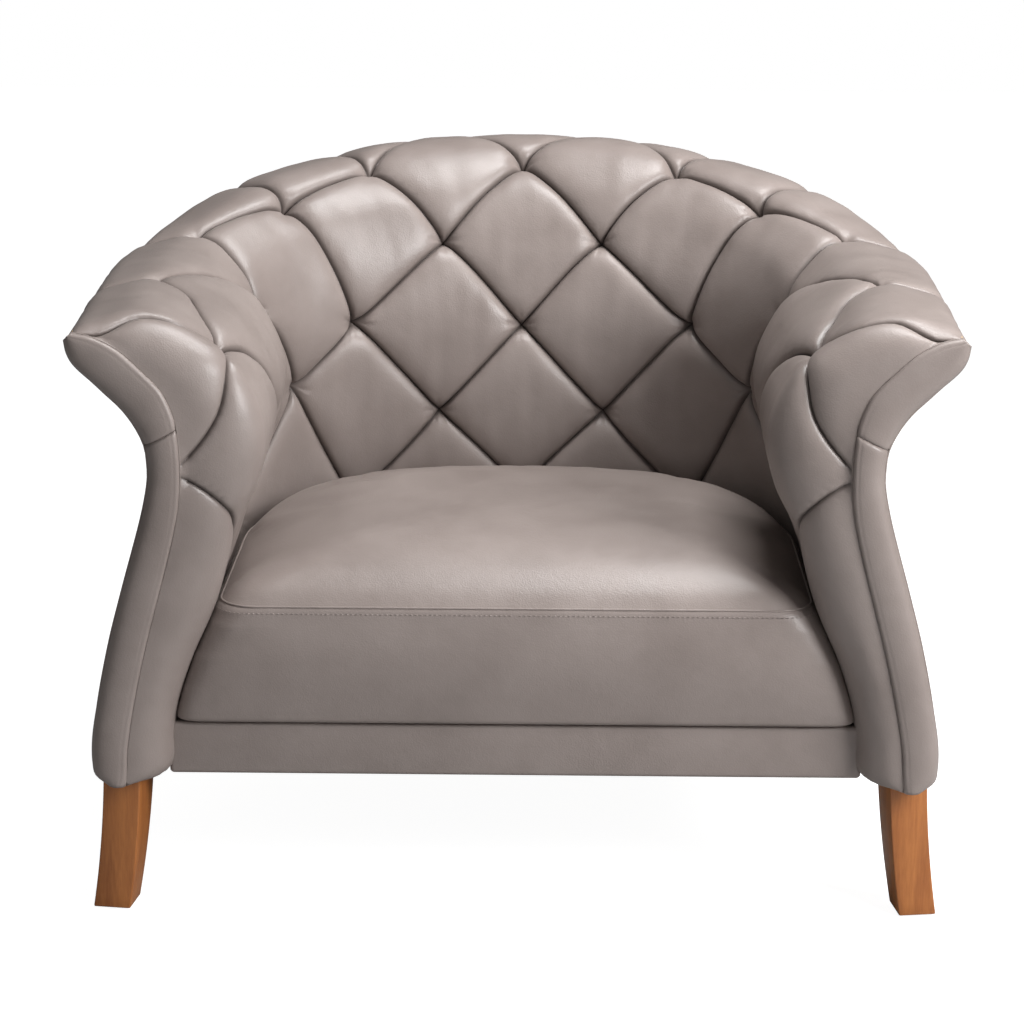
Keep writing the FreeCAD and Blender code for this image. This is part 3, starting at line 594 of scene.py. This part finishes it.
def facing_set_back(from_outer, from_seam, from_cross, share):
    """How far the facing lies behind the arm front: swell, round outer edge, sunk seams, row of stitches."""
    back = FACING_FRONT + EDGE_ROUND * math.exp(-from_outer / EDGE_REACH)
    back += SEAM_SINK * math.exp(-from_seam / SINK_REACH)
    back += STITCH_SINK * math.exp(-((from_seam - STITCH_FROM_SEAM) / STITCH_SINK_REACH) ** 2)
    back += CROSS_SINK * math.exp(-from_cross / SINK_REACH)
    return back - FACING_SWELL * math.sin(math.pi * share) ** SWELL_BLUNTNESS


def facing_panel(name, outer, inner, side, cross_first, material, *replaced):
    """Padded panel of an arm front between two lines, with its cross seam at their first or last points."""
    outer, inner = smooth_line(outer, FACING_ROWS + 1), smooth_line(inner, FACING_ROWS + 1)
    down = np.linalg.norm(np.diff((outer + inner) / 2, axis=0), axis=1)
    down = np.concatenate([[0], np.cumsum(down)])
    from_cross = down if cross_first else down[-1] - down
    bm = bmesh.new()
    bmesh.ops.create_grid(bm, x_segments=FACING_COLUMNS, y_segments=FACING_ROWS, size=1.0)
    for v in bm.verts:
        share, row = (v.co.x + 1) / 2, round((v.co.y + 1) / 2 * FACING_ROWS)
        reach, height = outer[row] + (inner[row] - outer[row]) * share
        width = np.linalg.norm(inner[row] - outer[row])
        back = facing_set_back(share * width, (1 - share) * width, from_cross[row], share)
        v.co = Vector((side * (NECK_HALF + reach), FRONT + back, height)) * MM
    turned_to(bm, Vector((0, -1, 0)))
    bmesh.ops.solidify(bm, geom=bm.faces, thickness=FACING_THICKNESS * MM)
    bmesh.ops.recalc_face_normals(bm, faces=bm.faces)
    obj = piece(name, mesh_of(name, bm), "chair", material, "taupe_leather", *replaced)


def turned_to(bm, way):
    """All faces turned to look one way, on the whole."""
    bmesh.ops.recalc_face_normals(bm, faces=bm.faces)
    bm.normal_update()
    if sum(f.normal.dot(way) * f.calc_area() for f in bm.faces) < 0:
        bmesh.ops.reverse_faces(bm, faces=bm.faces)


def arm_fronts(material):
    """Facings of both arms, with the cord and the row of stitches along their seam."""
    seam = smooth_line(SEAM, SEAM_SAMPLES)
    along = np.gradient(seam, axis=0)
    along /= np.linalg.norm(along, axis=1, keepdims=True)
    outward = np.stack([-along[:, 1], along[:, 0]], 1)
    for side, word in ((1, "_right"), (-1, "_left")):
        facing_panel("facing_upper" + word, UPPER_OUTER, UPPER_INNER, side, False, material,
                     "arm_facing_upper" + word)
        facing_panel("facing_lower" + word, LOWER_OUTER, LOWER_INNER, side, True, material,
                     "arm_facing_lower" + word)
        cord = tube(front_places(seam, side, CORD_SET_BACK), CORD_RADIUS * MM, False)
        piece("facing_cord" + word, cord, "chair", material, "taupe_leather", "facing_welt" + word)
        row = front_places(seam + outward * STITCH_FROM_SEAM, side, FACING_FRONT - STITCH_PROUD)
        row = row[UNSTITCHED_TOP:-UNSTITCHED_FOOT]
        facing = np.tile((0.0, -1.0, 0.0), (len(row), 1))
        stitch_row("facing_stitches" + word, row, facing, "chair", material, "taupe_leather")


def front_places(line, side, set_back):
    """Points of a section line, placed on an arm front."""
    depth = np.full(len(line), FRONT + set_back)
    return np.stack([side * (NECK_HALF + line[:, 0]), depth, line[:, 1]], 1) * MM


# Outside covers

COVER_ROWS = 60
ARM_COVER_STATIONS = 40
BACK_COVER_STATIONS = 121
ARM_COVER_SET_BACK = 9.0
COVER_THICKNESS = 2.0


def outside_cover(name, stations, material, *replaced):
    """Leather stretched over the outside of the wall between stations (origin, outward, girth)."""
    last = len(stations) - 1
    lines = []
    for origin, outward, girth in stations:
        line = lifted(OUTSIDE, frame_climb(girth))
        line[0] = lifted(OUTSIDE[:1], rim_climb(girth))[0]
        lines.append(placed(origin, outward, smooth_line(line, COVER_ROWS + 1)) * MM)
    bm = bmesh.new()
    bmesh.ops.create_grid(bm, x_segments=last, y_segments=COVER_ROWS, size=1.0)
    for v in bm.verts:
        v.co = lines[round((v.co.x + 1) / 2 * last)][round((v.co.y + 1) / 2 * COVER_ROWS)]
    middle = stations[last // 2][1]
    turned_to(bm, Vector((middle[0], middle[1], 0)))
    bmesh.ops.solidify(bm, geom=bm.faces, thickness=COVER_THICKNESS * MM)
    bmesh.ops.recalc_face_normals(bm, faces=bm.faces)
    piece(name, mesh_of(name, bm), "chair", material, "taupe_leather", *replaced)


def outside_covers(material):
    """Covers of both arms and of the back."""
    for side, word in ((1, "_right"), (-1, "_left")):
        stations = []
        outward = np.array((side * 1.0, 0.0))
        for set_back in np.linspace(ARM_COVER_SET_BACK, ARM_LENGTH, ARM_COVER_STATIONS):
            origin = np.array((side * NECK_HALF, FRONT + set_back))
            stations.append((origin, outward, BEND_GIRTH + ARM_LENGTH - set_back))
        outside_cover("outside_arm" + word, stations, material, "outside_arm_cover" + word)
    stations = []
    for degrees in np.linspace(0, 180, BACK_COVER_STATIONS):
        turn = math.radians(degrees)
        outward = np.array((math.cos(turn), math.sin(turn)))
        origin = np.array((NECK_HALF * outward[0], FRONT + ARM_LENGTH + BACK_DEPTH * outward[1]))
        stations.append((origin, outward, BEND_GIRTH * (1 - min(degrees, 180 - degrees) / 90)))
    outside_cover("outside_back", stations, material, "outside_back_cover")


# Seat cushion

# Levels of the cushion border from the bottom up: height, half width, front, corner radius
CUSHION_LEVELS = (
    (246.5, 411, -366, 18), (248, 415.5, -369.5, 18), (252, 418, -372, 18), (262, 416.5, -374, 19),
    (290, 409, -376, 24), (330, 395.5, -376, 31), (370, 377.5, -373, 39), (388, 368, -369, 43),
    (392.5, 365, -366.5, 45), (394.3, 363, -364.5, 46),
)
CUSHION_CELLS = 56
ON_EDGE = 0.999999
ON_TOP = 0.9999
CUSHION_REAR = 166.0
CORNER_POINTS, REAR_POINTS = 40, 90
REAR_CORNER = 0.36
CUSHION_MIDDLE = -100.0
CUSHION_SHOULDER = CUSHION_MIDDLE + 30
CUSHION_BLUNTNESS = 0.72
CUSHION_CROWN = 64.0
CROWN_BLUNTNESS = 0.62
# How soon the crown is full from the edge inwards, and how much sooner at the rear
CROWN_FULLNESS, REAR_FULLNESS = 2.8, 9.0
CUSHION_SEAM = CUSHION_LEVELS[-1][0]
SEAM_CORD = 1.5
RING_SAMPLES = 420
CUSHION_STITCHES, CUSHION_STITCH_PROUD = 7.0, 0.6
# Where the cover is held while it is filled, and how far it may move on top and at the border, in metres
HELD_AT_SEAM = 5.0
HELD_BELOW, HELD_EASE = 258.0, 6.0
FILL_PRESSURE, FILL_FRAMES = 3.0, 18
TOP_MOVE, BORDER_MOVE = 0.009, 0.004


def filled(mesh, pins, pressure, frames):
    """Vertices of a closed mesh after its filling has pressed the cover out, held where it is pinned."""
    work = bpy.data.objects.new("work", mesh)
    scene = bpy.context.scene
    scene.collection.objects.link(work)
    group = work.vertex_groups.new(name="held")
    grades = np.round(np.clip(pins, 0, 1), 1)
    for grade in np.unique(grades[grades > 0]):
        group.add(np.nonzero(grades == grade)[0].tolist(), float(grade), "REPLACE")
    cloth = work.modifiers.new("cover", "CLOTH")
    settings = cloth.settings
    settings.quality = 4
    settings.mass = 0.4
    settings.tension_stiffness = 25
    settings.compression_stiffness = 25
    settings.shear_stiffness = 12
    settings.bending_stiffness = 2
    settings.use_pressure = True
    settings.uniform_pressure_force = pressure
    settings.effector_weights.gravity = 0
    settings.vertex_group_mass = "held"
    cloth.collision_settings.use_collision = False
    cloth.collision_settings.use_self_collision = False
    cloth.point_cache.frame_start = 1
    cloth.point_cache.frame_end = frames
    for step in range(1, frames + 1):
        scene.frame_set(step)
    done = work.evaluated_get(bpy.context.evaluated_depsgraph_get()).to_mesh()
    co = coordinates(done)
    bpy.data.objects.remove(work)
    scene.frame_set(1)
    return co


def cushion_plan(half, front, corner, rear):
    """Outline of the cushion from the middle of its front, round by the right: points, their shares of the
    way round, and the share at the middle of its front corner."""
    turn = np.linspace(0, math.pi / 2, CORNER_POINTS)
    nose = np.stack([half - corner + corner * np.sin(turn), front + corner - corner * np.cos(turn)], 1)
    swing = np.linspace(0, math.pi / 2, REAR_POINTS)
    across, along = np.cos(swing) ** CUSHION_BLUNTNESS, np.sin(swing) ** CUSHION_BLUNTNESS
    back = np.stack([half * across, CUSHION_SHOULDER + (rear - CUSHION_SHOULDER) * along], 1)
    right = np.concatenate([[(0.0, front)], nose, back])
    whole = np.concatenate([right, right[-2::-1] * (-1, 1)])
    length = np.concatenate([[0], np.cumsum(np.linalg.norm(np.diff(whole, axis=0), axis=1))])
    return whole, length / length[-1], length[CORNER_POINTS // 2 + 1] / length[-1]


def on_plan(half, front, corner, rear, where):
    """Points of the outline at places on the edge of a square, counted 0 to 8 from its front middle."""
    whole, share, turned = cushion_plan(half, front, corner, rear)
    known = (0, 1, 3, 4, 5, 7, 8)
    shares = np.interp(where, known, (0, turned, REAR_CORNER, 0.5, 1 - REAR_CORNER, 1 - turned, 1))
    return np.stack([np.interp(shares, share, whole[:, k]) for k in range(2)], 1)


def edge_place(x, y):
    """Place on the edge of a square that a point inside it looks out to, counted 0 to 8 from its front
    middle, and how far out the point is."""
    reach = np.maximum(np.maximum(np.abs(x), np.abs(y)), 1e-9)
    x, y = x / reach, y / reach
    where = np.select((y <= -ON_EDGE, x >= ON_EDGE, y >= ON_EDGE), (x, 2 + y, 4 - x), 6 - y)
    return np.mod(where, 8), reach


def cushion_block():
    """Boxed cushion with a border that leans in and a crowned top, full at the rear."""
    bm = bmesh.new()
    bmesh.ops.create_cube(bm, size=2.0)
    bmesh.ops.subdivide_edges(bm, edges=bm.edges[:], cuts=CUSHION_CELLS - 1, use_grid_fill=True)
    mesh = mesh_of("seat_cushion_cover", bm)
    block = coordinates(mesh)
    where, reach = edge_place(block[:, 0], block[:, 1])
    heights, halves, fronts, corners = np.array(CUSHION_LEVELS).T
    level = heights[0] + (CUSHION_SEAM - heights[0]) * (block[:, 2] + 1) / 2
    co = np.zeros_like(block)
    co[:, 2] = level
    for step in np.unique(np.round(level, 4)):
        rows = np.abs(level - step) < 1e-3
        values = [np.interp(step, heights, part) for part in (halves, fronts, corners)]
        co[rows, :2] = on_plan(*values, CUSHION_REAR, where[rows])
    middle = np.array((0, CUSHION_MIDDLE))
    rearward = np.clip((co[:, 1] - CUSHION_MIDDLE) / (CUSHION_REAR - CUSHION_MIDDLE), 0, 1)
    fullness = CROWN_FULLNESS + REAR_FULLNESS * rearward ** 2
    co[:, :2] = middle + (co[:, :2] - middle) * reach[:, None]
    top = block[:, 2] > ON_TOP
    co[top, 2] += CUSHION_CROWN * (1 - reach[top] ** fullness[top]) ** CROWN_BLUNTNESS
    set_coordinates(mesh, co * MM)
    return mesh, top


def cushion_ring(height, samples):
    """Points round the cushion at a height, with the way the border faces at each."""
    heights, halves, fronts, corners = np.array(CUSHION_LEVELS).T
    values = [np.interp(height, heights, part) for part in (halves, fronts, corners)]
    plan, share, _ = cushion_plan(*values, CUSHION_REAR)
    even = np.linspace(0, 1, samples, endpoint=False)
    ring = np.stack([np.interp(even, share, plan[:, k]) for k in range(2)] + [np.full(samples, height)], 1)
    run = np.roll(ring, -1, 0) - np.roll(ring, 1, 0)
    facing = np.stack([run[:, 1], -run[:, 0], np.zeros(samples)], 1)
    return ring * MM, facing / np.linalg.norm(facing, axis=1, keepdims=True)


def cushion_filled(mesh, top):
    """Cushion cover pressed out by its filling, held at the seam and under the seat."""
    shape = coordinates(mesh)
    seam = np.exp(-((shape[:, 2] / MM - CUSHION_SEAM) / HELD_AT_SEAM) ** 2)
    low = np.clip((HELD_BELOW - shape[:, 2] / MM) / HELD_EASE, 0, 1)
    moved = filled(mesh, np.maximum(low, seam), FILL_PRESSURE, FILL_FRAMES) - shape
    length = np.linalg.norm(moved, axis=1, keepdims=True)
    most = np.where(top, TOP_MOVE, BORDER_MOVE)[:, None]
    return shape + moved * np.minimum(1, most / (length + 1e-9))


def seat_cushion(material):
    """The loose seat cushion, with the cord and the row of stitches of its seam."""
    mesh, top = cushion_block()
    set_coordinates(mesh, cushion_filled(mesh, top))
    obj = piece("seat_cushion_cover", mesh, "cushion", material, "taupe_leather", "seat_cushion")
    smooth = obj.modifiers.new("smooth", "SUBSURF")
    smooth.levels = smooth.render_levels = 1
    seam, _ = cushion_ring(CUSHION_SEAM, RING_SAMPLES)
    piece("cushion_seam", tube(seam, SEAM_CORD * MM, True), "cushion", material, "taupe_leather")
    row, facing = cushion_ring(CUSHION_SEAM - CUSHION_STITCHES, RING_SAMPLES)
    facing = np.concatenate([facing, facing[:1]])
    row = np.concatenate([row, row[:1]]) + facing * CUSHION_STITCH_PROUD * MM
    stitch_row("cushion_stitches", row, facing, "cushion", material, "taupe_leather")


# Base

# Rail padding, in metres: half its width, how far it hangs below its solid, round of its edges
RAIL_PADDING_HALF = 0.4265
RAIL_PADDING_DROP = 1.5 * MM
RAIL_PADDING_ROUND = 5.5 * MM
# Plane that trims the right side rail: where it lies across and up, in metres, and the way it faces
TRIM_PLACE = (0.434, 0.246)
TRIM_WAY = (-0.88, -0.47)


def front_rail_cover(material):
    """Padded leather over the front rail, tucked behind the arm fronts."""
    low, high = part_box("front_rail_cover")
    low = low - Vector((0, 0, RAIL_PADDING_DROP))
    size, middle = high - low, (high + low) / 2
    bm = bmesh.new()
    bmesh.ops.create_cube(bm, size=1.0)
    for v in bm.verts:
        v.co = middle + Vector((v.co.x * 2 * RAIL_PADDING_HALF, v.co.y * size.y, v.co.z * size.z))
    bmesh.ops.bevel(bm, geom=bm.edges[:], offset=RAIL_PADDING_ROUND, offset_type="OFFSET", affect="EDGES",
                    segments=5, profile=0.5, material=-1)
    mesh = mesh_of("front_rail_padding", bm)
    obj = piece("front_rail_padding", mesh, "chair", material, "taupe_leather", "front_rail_cover")


def side_rails(material):
    """Side rails with the lower inner edge cut away, so that the arm padding can wrap under it."""
    for side, word in ((1, "_right"), (-1, "_left")):
        bm = bmesh.new()
        bm.from_mesh(nodes["side_rail" + word].data)
        bmesh.ops.remove_doubles(bm, verts=bm.verts, dist=WELD)
        geometry = bm.verts[:] + bm.edges[:] + bm.faces[:]
        place, way = ((side * across, 0, high) for across, high in (TRIM_PLACE, TRIM_WAY))
        cut = bmesh.ops.bisect_plane(bm, geom=geometry, dist=1e-6, plane_co=place, plane_no=way,
                                     clear_outer=True)
        edges = [e for e in cut["geom_cut"] if isinstance(e, bmesh.types.BMEdge)]
        bmesh.ops.holes_fill(bm, edges=edges)
        bmesh.ops.recalc_face_normals(bm, faces=bm.faces)
        mesh = mesh_of("side_rail_trimmed" + word, bm)
        mesh.polygons.foreach_set("use_smooth", np.zeros(len(mesh.polygons), bool))
        piece("side_rail_trimmed" + word, mesh, "chair", material, "frame_timber", "side_rail" + word)


# Legs

LEG_TOP, LEG_FOOT = 179.7, 3.0
LEG_WIDTH = 47.0
LEG_SABRE = 3.0
LEG_EASED = 2.0 * MM
LEG_CUTS = 11
SHARP_ANGLE = 0.8
# Middle at the top and at the foot, depth at the top, turn in degrees
LEGS = {
    "front_leg": ((480.5, -340.5), (499.5, -350.0), 66.0, 8.0),
    "rear_leg": ((285.67, 260.37), (304.67, 298.37), 47.0, 0.0),
}


def wooden_leg(name, side, word, material):
    """Square leg that tapers to its foot, with eased edges."""
    (top_x, top_y), (foot_x, foot_y), depth, turn = LEGS[name]
    top, foot = Vector((top_x, top_y, LEG_TOP)), Vector((foot_x, foot_y, LEG_FOOT))
    lean = Vector((foot_x - top_x, foot_y - top_y, 0)).normalized()
    across = Vector((math.cos(math.radians(turn)), math.sin(math.radians(turn)), 0))
    along = Vector((0, 0, 1)).cross(across)
    bm = bmesh.new()
    bmesh.ops.create_cube(bm, size=1.0)
    lengthwise = [e for e in bm.edges if abs(e.verts[0].co.z - e.verts[1].co.z) > 0.5]
    bmesh.ops.subdivide_edges(bm, edges=lengthwise, cuts=LEG_CUTS, use_grid_fill=True)
    for v in bm.verts:
        share = 0.5 - v.co.z
        centre = top + (foot - top) * share - lean * LEG_SABRE * 4 * share * (1 - share)
        deep = depth + (LEG_WIDTH - depth) * share
        place = (centre + across * v.co.x * LEG_WIDTH + along * v.co.y * deep) * MM
        v.co = (side * place.x, place.y, place.z)
    bmesh.ops.recalc_face_normals(bm, faces=bm.faces)
    corners = [e for e in bm.edges if e.calc_face_angle(0) > SHARP_ANGLE]
    bmesh.ops.bevel(bm, geom=corners, offset=LEG_EASED, offset_type="OFFSET", affect="EDGES", segments=3,
                    profile=0.5, material=-1)
    title = name + word + "_wood"
    piece(title, mesh_of(title, bm), "chair", material, "stained_wood", name + word)


# Materials

WRINKLE_HEIGHT = 1.9
FINE_STREAKS = 0.55


def texture(tree, kind, **values):
    """New node with its own settings."""
    node = tree.nodes.new(kind)
    for name, value in values.items():
        setattr(node, name, value)
    return node


def given(node, **values):
    """The node, with values on its inputs."""
    for name, value in values.items():
        node.inputs[name.replace("_", " ")].default_value = value
    return node


def joined(tree, *pairs):
    for start, end in pairs:
        tree.links.new(start, end)


def leather_grain():
    """Shared grain of the hide: fine pebbles and soft wrinkles as a height, and blotches of tone."""
    group = bpy.data.node_groups.new("leather_grain", "ShaderNodeTree")
    group.interface.new_socket("Place", in_out="INPUT", socket_type="NodeSocketVector")
    for label in ("Height", "Tone"):
        group.interface.new_socket(label, in_out="OUTPUT", socket_type="NodeSocketFloat")
    start, end = group.nodes.new("NodeGroupInput"), group.nodes.new("NodeGroupOutput")
    pebble = given(texture(group, "ShaderNodeTexVoronoi", feature="F1"), Scale=540.0)
    wrinkle = given(texture(group, "ShaderNodeTexNoise"), Scale=95.0, Detail=2.0, Roughness=0.6)
    blotch = given(texture(group, "ShaderNodeTexNoise"), Scale=9.0, Detail=3.0, Roughness=0.62)
    heap = texture(group, "ShaderNodeMath", operation="MULTIPLY_ADD")
    heap.inputs[1].default_value = WRINKLE_HEIGHT
    for node in (pebble, wrinkle, blotch):
        joined(group, (start.outputs["Place"], node.inputs["Vector"]))
    joined(group, (wrinkle.outputs["Fac"], heap.inputs[0]), (pebble.outputs["Distance"], heap.inputs[2]),
           (heap.outputs[0], end.inputs["Height"]), (blotch.outputs["Fac"], end.inputs["Tone"]))
    return group


def new_material(name):
    material = bpy.data.materials.new(name)
    material.use_nodes = True
    tree = material.node_tree
    return material, tree, tree.nodes["Principled BSDF"]


def leather(name, grain, dark, light, painted_crease_shade):
    """Semi-gloss hide: mottled, grained, with painted shade that darkens it down in the folds."""
    material, tree, shader = new_material(name)
    place = tree.nodes.new("ShaderNodeTexCoord")
    skin = tree.nodes.new("ShaderNodeGroup")
    skin.node_tree = grain
    tone = texture(tree, "ShaderNodeMix", data_type="RGBA")
    tone.inputs["A"].default_value, tone.inputs["B"].default_value = dark, light
    spread = given(texture(tree, "ShaderNodeMapRange"), From_Min=0.3, From_Max=0.7)
    gloss = given(texture(tree, "ShaderNodeMapRange"), From_Min=0.3, From_Max=0.7, To_Min=0.36, To_Max=0.47)
    # Painted shade in the creases, read from the attribute that the tufted padding carries
    depth = texture(tree, "ShaderNodeAttribute", attribute_name="painted_crease_shade")
    shade = texture(tree, "ShaderNodeMix", data_type="RGBA")
    shade.inputs["B"].default_value = painted_crease_shade
    bump = given(texture(tree, "ShaderNodeBump"), Strength=0.32, Distance=0.0004)
    joined(tree, (place.outputs["Object"], skin.inputs["Place"]),
           (skin.outputs["Tone"], spread.inputs["Value"]), (spread.outputs["Result"], tone.inputs["Factor"]),
           (skin.outputs["Tone"], gloss.inputs["Value"]),
           (gloss.outputs["Result"], shader.inputs["Roughness"]),
           (tone.outputs["Result"], shade.inputs["A"]), (depth.outputs["Fac"], shade.inputs["Factor"]),
           (shade.outputs["Result"], shader.inputs["Base Color"]),
           (skin.outputs["Height"], bump.inputs["Height"]), (bump.outputs["Normal"], shader.inputs["Normal"]))
    return material


def streaks():
    """Shared streaks, drawn out along one axis by the stretch that is given."""
    group = bpy.data.node_groups.new("streaks", "ShaderNodeTree")
    for label in ("Place", "Stretch"):
        group.interface.new_socket(label, in_out="INPUT", socket_type="NodeSocketVector")
    for label in ("Fine", "Broad"):
        group.interface.new_socket(label, in_out="OUTPUT", socket_type="NodeSocketFloat")
    start, end = group.nodes.new("NodeGroupInput"), group.nodes.new("NodeGroupOutput")
    drawn = texture(group, "ShaderNodeVectorMath", operation="MULTIPLY")
    fine = given(texture(group, "ShaderNodeTexNoise"), Scale=420.0, Detail=4.0, Roughness=0.65)
    broad = given(texture(group, "ShaderNodeTexNoise"), Scale=46.0, Detail=5.0, Roughness=0.55,
                  Distortion=0.8)
    joined(group, (start.outputs["Place"], drawn.inputs[0]), (start.outputs["Stretch"], drawn.inputs[1]),
           (drawn.outputs[0], fine.inputs["Vector"]), (drawn.outputs[0], broad.inputs["Vector"]),
           (fine.outputs["Fac"], end.inputs["Fine"]), (broad.outputs["Fac"], end.inputs["Broad"]))
    return group


def streaked(name, group, dark, light, rough, stretch, relief, metal):
    """Material with fine streaks over broad ones: wood, board, brushed metal or cloth."""
    material, tree, shader = new_material(name)
    place = tree.nodes.new("ShaderNodeTexCoord")
    lines = tree.nodes.new("ShaderNodeGroup")
    lines.node_tree = group
    lines.inputs["Stretch"].default_value = stretch
    blend = texture(tree, "ShaderNodeMath", operation="MULTIPLY_ADD")
    blend.inputs[1].default_value = FINE_STREAKS
    tone = texture(tree, "ShaderNodeMix", data_type="RGBA")
    tone.inputs["A"].default_value, tone.inputs["B"].default_value = dark, light
    spread = given(texture(tree, "ShaderNodeMapRange"), From_Min=0.5, From_Max=1.05)
    shader.inputs["Roughness"].default_value = rough
    shader.inputs["Metallic"].default_value = metal
    bump = given(texture(tree, "ShaderNodeBump"), Strength=0.25, Distance=relief)
    joined(tree, (place.outputs["Object"], lines.inputs["Place"]), (lines.outputs["Fine"], blend.inputs[0]),
           (lines.outputs["Broad"], blend.inputs[2]), (blend.outputs[0], spread.inputs["Value"]),
           (spread.outputs["Result"], tone.inputs["Factor"]),
           (tone.outputs["Result"], shader.inputs["Base Color"]),
           (lines.outputs["Fine"], bump.inputs["Height"]), (bump.outputs["Normal"], shader.inputs["Normal"]))
    return material


# Dark and light tone, roughness, stretch of the streaks, relief in metres, metal
FINISHES = {
    "stained_leg_wood": ((0.26, 0.082, 0.02, 1), (0.47, 0.175, 0.046, 1), 0.4, (1, 1, 0.09), 0.0002, 0.0),
    "frame_timber": ((0.40, 0.27, 0.15, 1), (0.58, 0.42, 0.26, 1), 0.6, (1, 0.08, 1), 0.0003, 0.0),
    "plywood": ((0.45, 0.31, 0.18, 1), (0.62, 0.47, 0.30, 1), 0.62, (0.08, 1, 1), 0.0002, 0.0),
    "fibreboard": ((0.26, 0.18, 0.11, 1), (0.36, 0.26, 0.17, 1), 0.75, (1, 1, 1), 0.0002, 0.0),
    "zinc_steel": ((0.55, 0.56, 0.58, 1), (0.72, 0.73, 0.75, 1), 0.34, (1, 1, 1), 0.0001, 1.0),
    "glide_plastic": ((0.02, 0.02, 0.02, 1), (0.05, 0.05, 0.05, 1), 0.5, (1, 1, 1), 0.0001, 0.0),
    "lining_fabric": ((0.035, 0.031, 0.029, 1), (0.075, 0.067, 0.062, 1), 0.85, (1, 1, 1), 0.0004, 0.0),
}
# Finish of the solids that stay as they are, by a word in their names
LOOKS = (
    ("rail", "frame_timber"), ("blocks", "frame_timber"), ("_rib_", "plywood"), ("front_panel", "plywood"),
    ("backing", "fibreboard"), ("spring", "zinc_steel"), ("screws", "zinc_steel"), ("bolts", "zinc_steel"),
    ("inserts", "zinc_steel"), ("glides", "glide_plastic"), ("deck", "lining_fabric"),
    ("dust_cover", "lining_fabric"),
)

# The last colour is painted shade, laid into the creases of the tufted padding
hide = leather("taupe_leather", leather_grain(), (0.215, 0.178, 0.163, 1), (0.262, 0.220, 0.203, 1),
               (0.05, 0.038, 0.033, 1))
shared_streaks = streaks()
finishes = {name: streaked(name, shared_streaks, *values) for name, values in FINISHES.items()}

padded_tub(hide)
arm_fronts(hide)
outside_covers(hide)
seat_cushion(hide)
front_rail_cover(hide)
side_rails(finishes["frame_timber"])
for side, word in ((1, "_right"), (-1, "_left")):
    for leg in LEGS:
        wooden_leg(leg, side, word, finishes["stained_leg_wood"])
for name, node in nodes.items():
    for part, look in LOOKS:
        if part in name:
            node.data.materials.clear()
            node.data.materials.append(finishes[look])
            break


# Floor, light and camera

FLOOR_HALF = 9.0
FLOOR_GLOW = 0.95
WORLD_LIGHT = 0.15
# Lamps: place, where each points, width and height, watts
LAMPS = {
    "overhead": ((0.6, -0.1, 2.7), (0.05, -0.05, 0.5), (1.0, 1.0), 58),
    "key": ((1.8, -1.45, 1.6), (0, -0.15, 0.45), (1.1, 1.1), 74),
    "front": ((-0.8, -3.4, 1.2), (0, 0, 0.5), (1.6, 1.6), 7),
}
# Camera, with angles given in degrees: round the chair, down, sideways and tilted
CAMERA_AWAY, CAMERA_HEIGHT = 3.6135, 1.376
CAMERA_ORBIT, CAMERA_PITCH, CAMERA_AIM, CAMERA_ROLL = np.radians((0.6, 14.82, 0.75, 0.25)).tolist()
CAMERA_SENSOR, CAMERA_LENS, CAMERA_REACH = 36.0, 98.14, 50


def stage():
    """Pale floor that the camera sees as white, with the chair's soft shadow."""
    bm = bmesh.new()
    bmesh.ops.create_grid(bm, x_segments=1, y_segments=1, size=FLOOR_HALF)
    mesh = mesh_of("floor", bm)
    floor = bpy.data.objects.new("floor", mesh)
    bpy.context.scene.collection.objects.link(floor)
    material, tree, shader = new_material("pale_floor")
    shader.inputs["Base Color"].default_value = (0.4, 0.4, 0.4, 1)
    shader.inputs["Roughness"].default_value = 0.9
    shader.inputs["Emission Color"].default_value = (1, 1, 1, 1)
    path = tree.nodes.new("ShaderNodeLightPath")
    seen = texture(tree, "ShaderNodeMath", operation="MULTIPLY")
    seen.inputs[1].default_value = FLOOR_GLOW
    joined(tree, (path.outputs["Is Camera Ray"], seen.inputs[0]),
           (seen.outputs[0], shader.inputs["Emission Strength"]))
    mesh.materials.append(material)


def lamp(name, place, aim, size, watts):
    """Soft rectangular lamp that points at a place."""
    light = bpy.data.lights.new(name, "AREA")
    light.shape = "RECTANGLE"
    light.size, light.size_y = size
    light.energy = watts
    obj = bpy.data.objects.new(name, light)
    obj.location = place
    obj.rotation_mode = "QUATERNION"
    obj.rotation_quaternion = (Vector(aim) - Vector(place)).to_track_quat("-Z", "Y")
    bpy.context.scene.collection.objects.link(obj)


def surround():
    """White surround: faint as a light, full for the camera."""
    scene = bpy.context.scene
    scene.view_settings.view_transform = "Standard"
    world = bpy.data.worlds.new("studio")
    scene.world = world
    world.use_nodes = True
    tree = world.node_tree
    back = tree.nodes["Background"]
    path = tree.nodes.new("ShaderNodeLightPath")
    level = given(texture(tree, "ShaderNodeMapRange"), To_Min=WORLD_LIGHT, To_Max=1.0)
    joined(tree, (path.outputs["Is Camera Ray"], level.inputs["Value"]),
           (level.outputs["Result"], back.inputs["Strength"]))
    back.inputs["Color"].default_value = (1, 1, 1, 1)


def camera():
    """Camera at the photograph's angle."""
    data = bpy.data.cameras.new("camera")
    obj = bpy.data.objects.new("camera", data)
    bpy.context.scene.collection.objects.link(obj)
    data.sensor_width, data.lens, data.clip_end = CAMERA_SENSOR, CAMERA_LENS, CAMERA_REACH
    sideways, forward = math.sin(CAMERA_ORBIT), math.cos(CAMERA_ORBIT)
    obj.location = (CAMERA_AWAY * sideways, -CAMERA_AWAY * forward, CAMERA_HEIGHT)
    turn = Matrix.Rotation(CAMERA_AIM, 3, "Z") @ Matrix.Rotation(math.pi / 2 - CAMERA_PITCH, 3, "X")
    obj.rotation_euler = (turn @ Matrix.Rotation(CAMERA_ROLL, 3, "Z")).to_euler()
    bpy.context.scene.camera = obj


stage()
surround()
for name, values in LAMPS.items():
    lamp(name, *values)
camera()
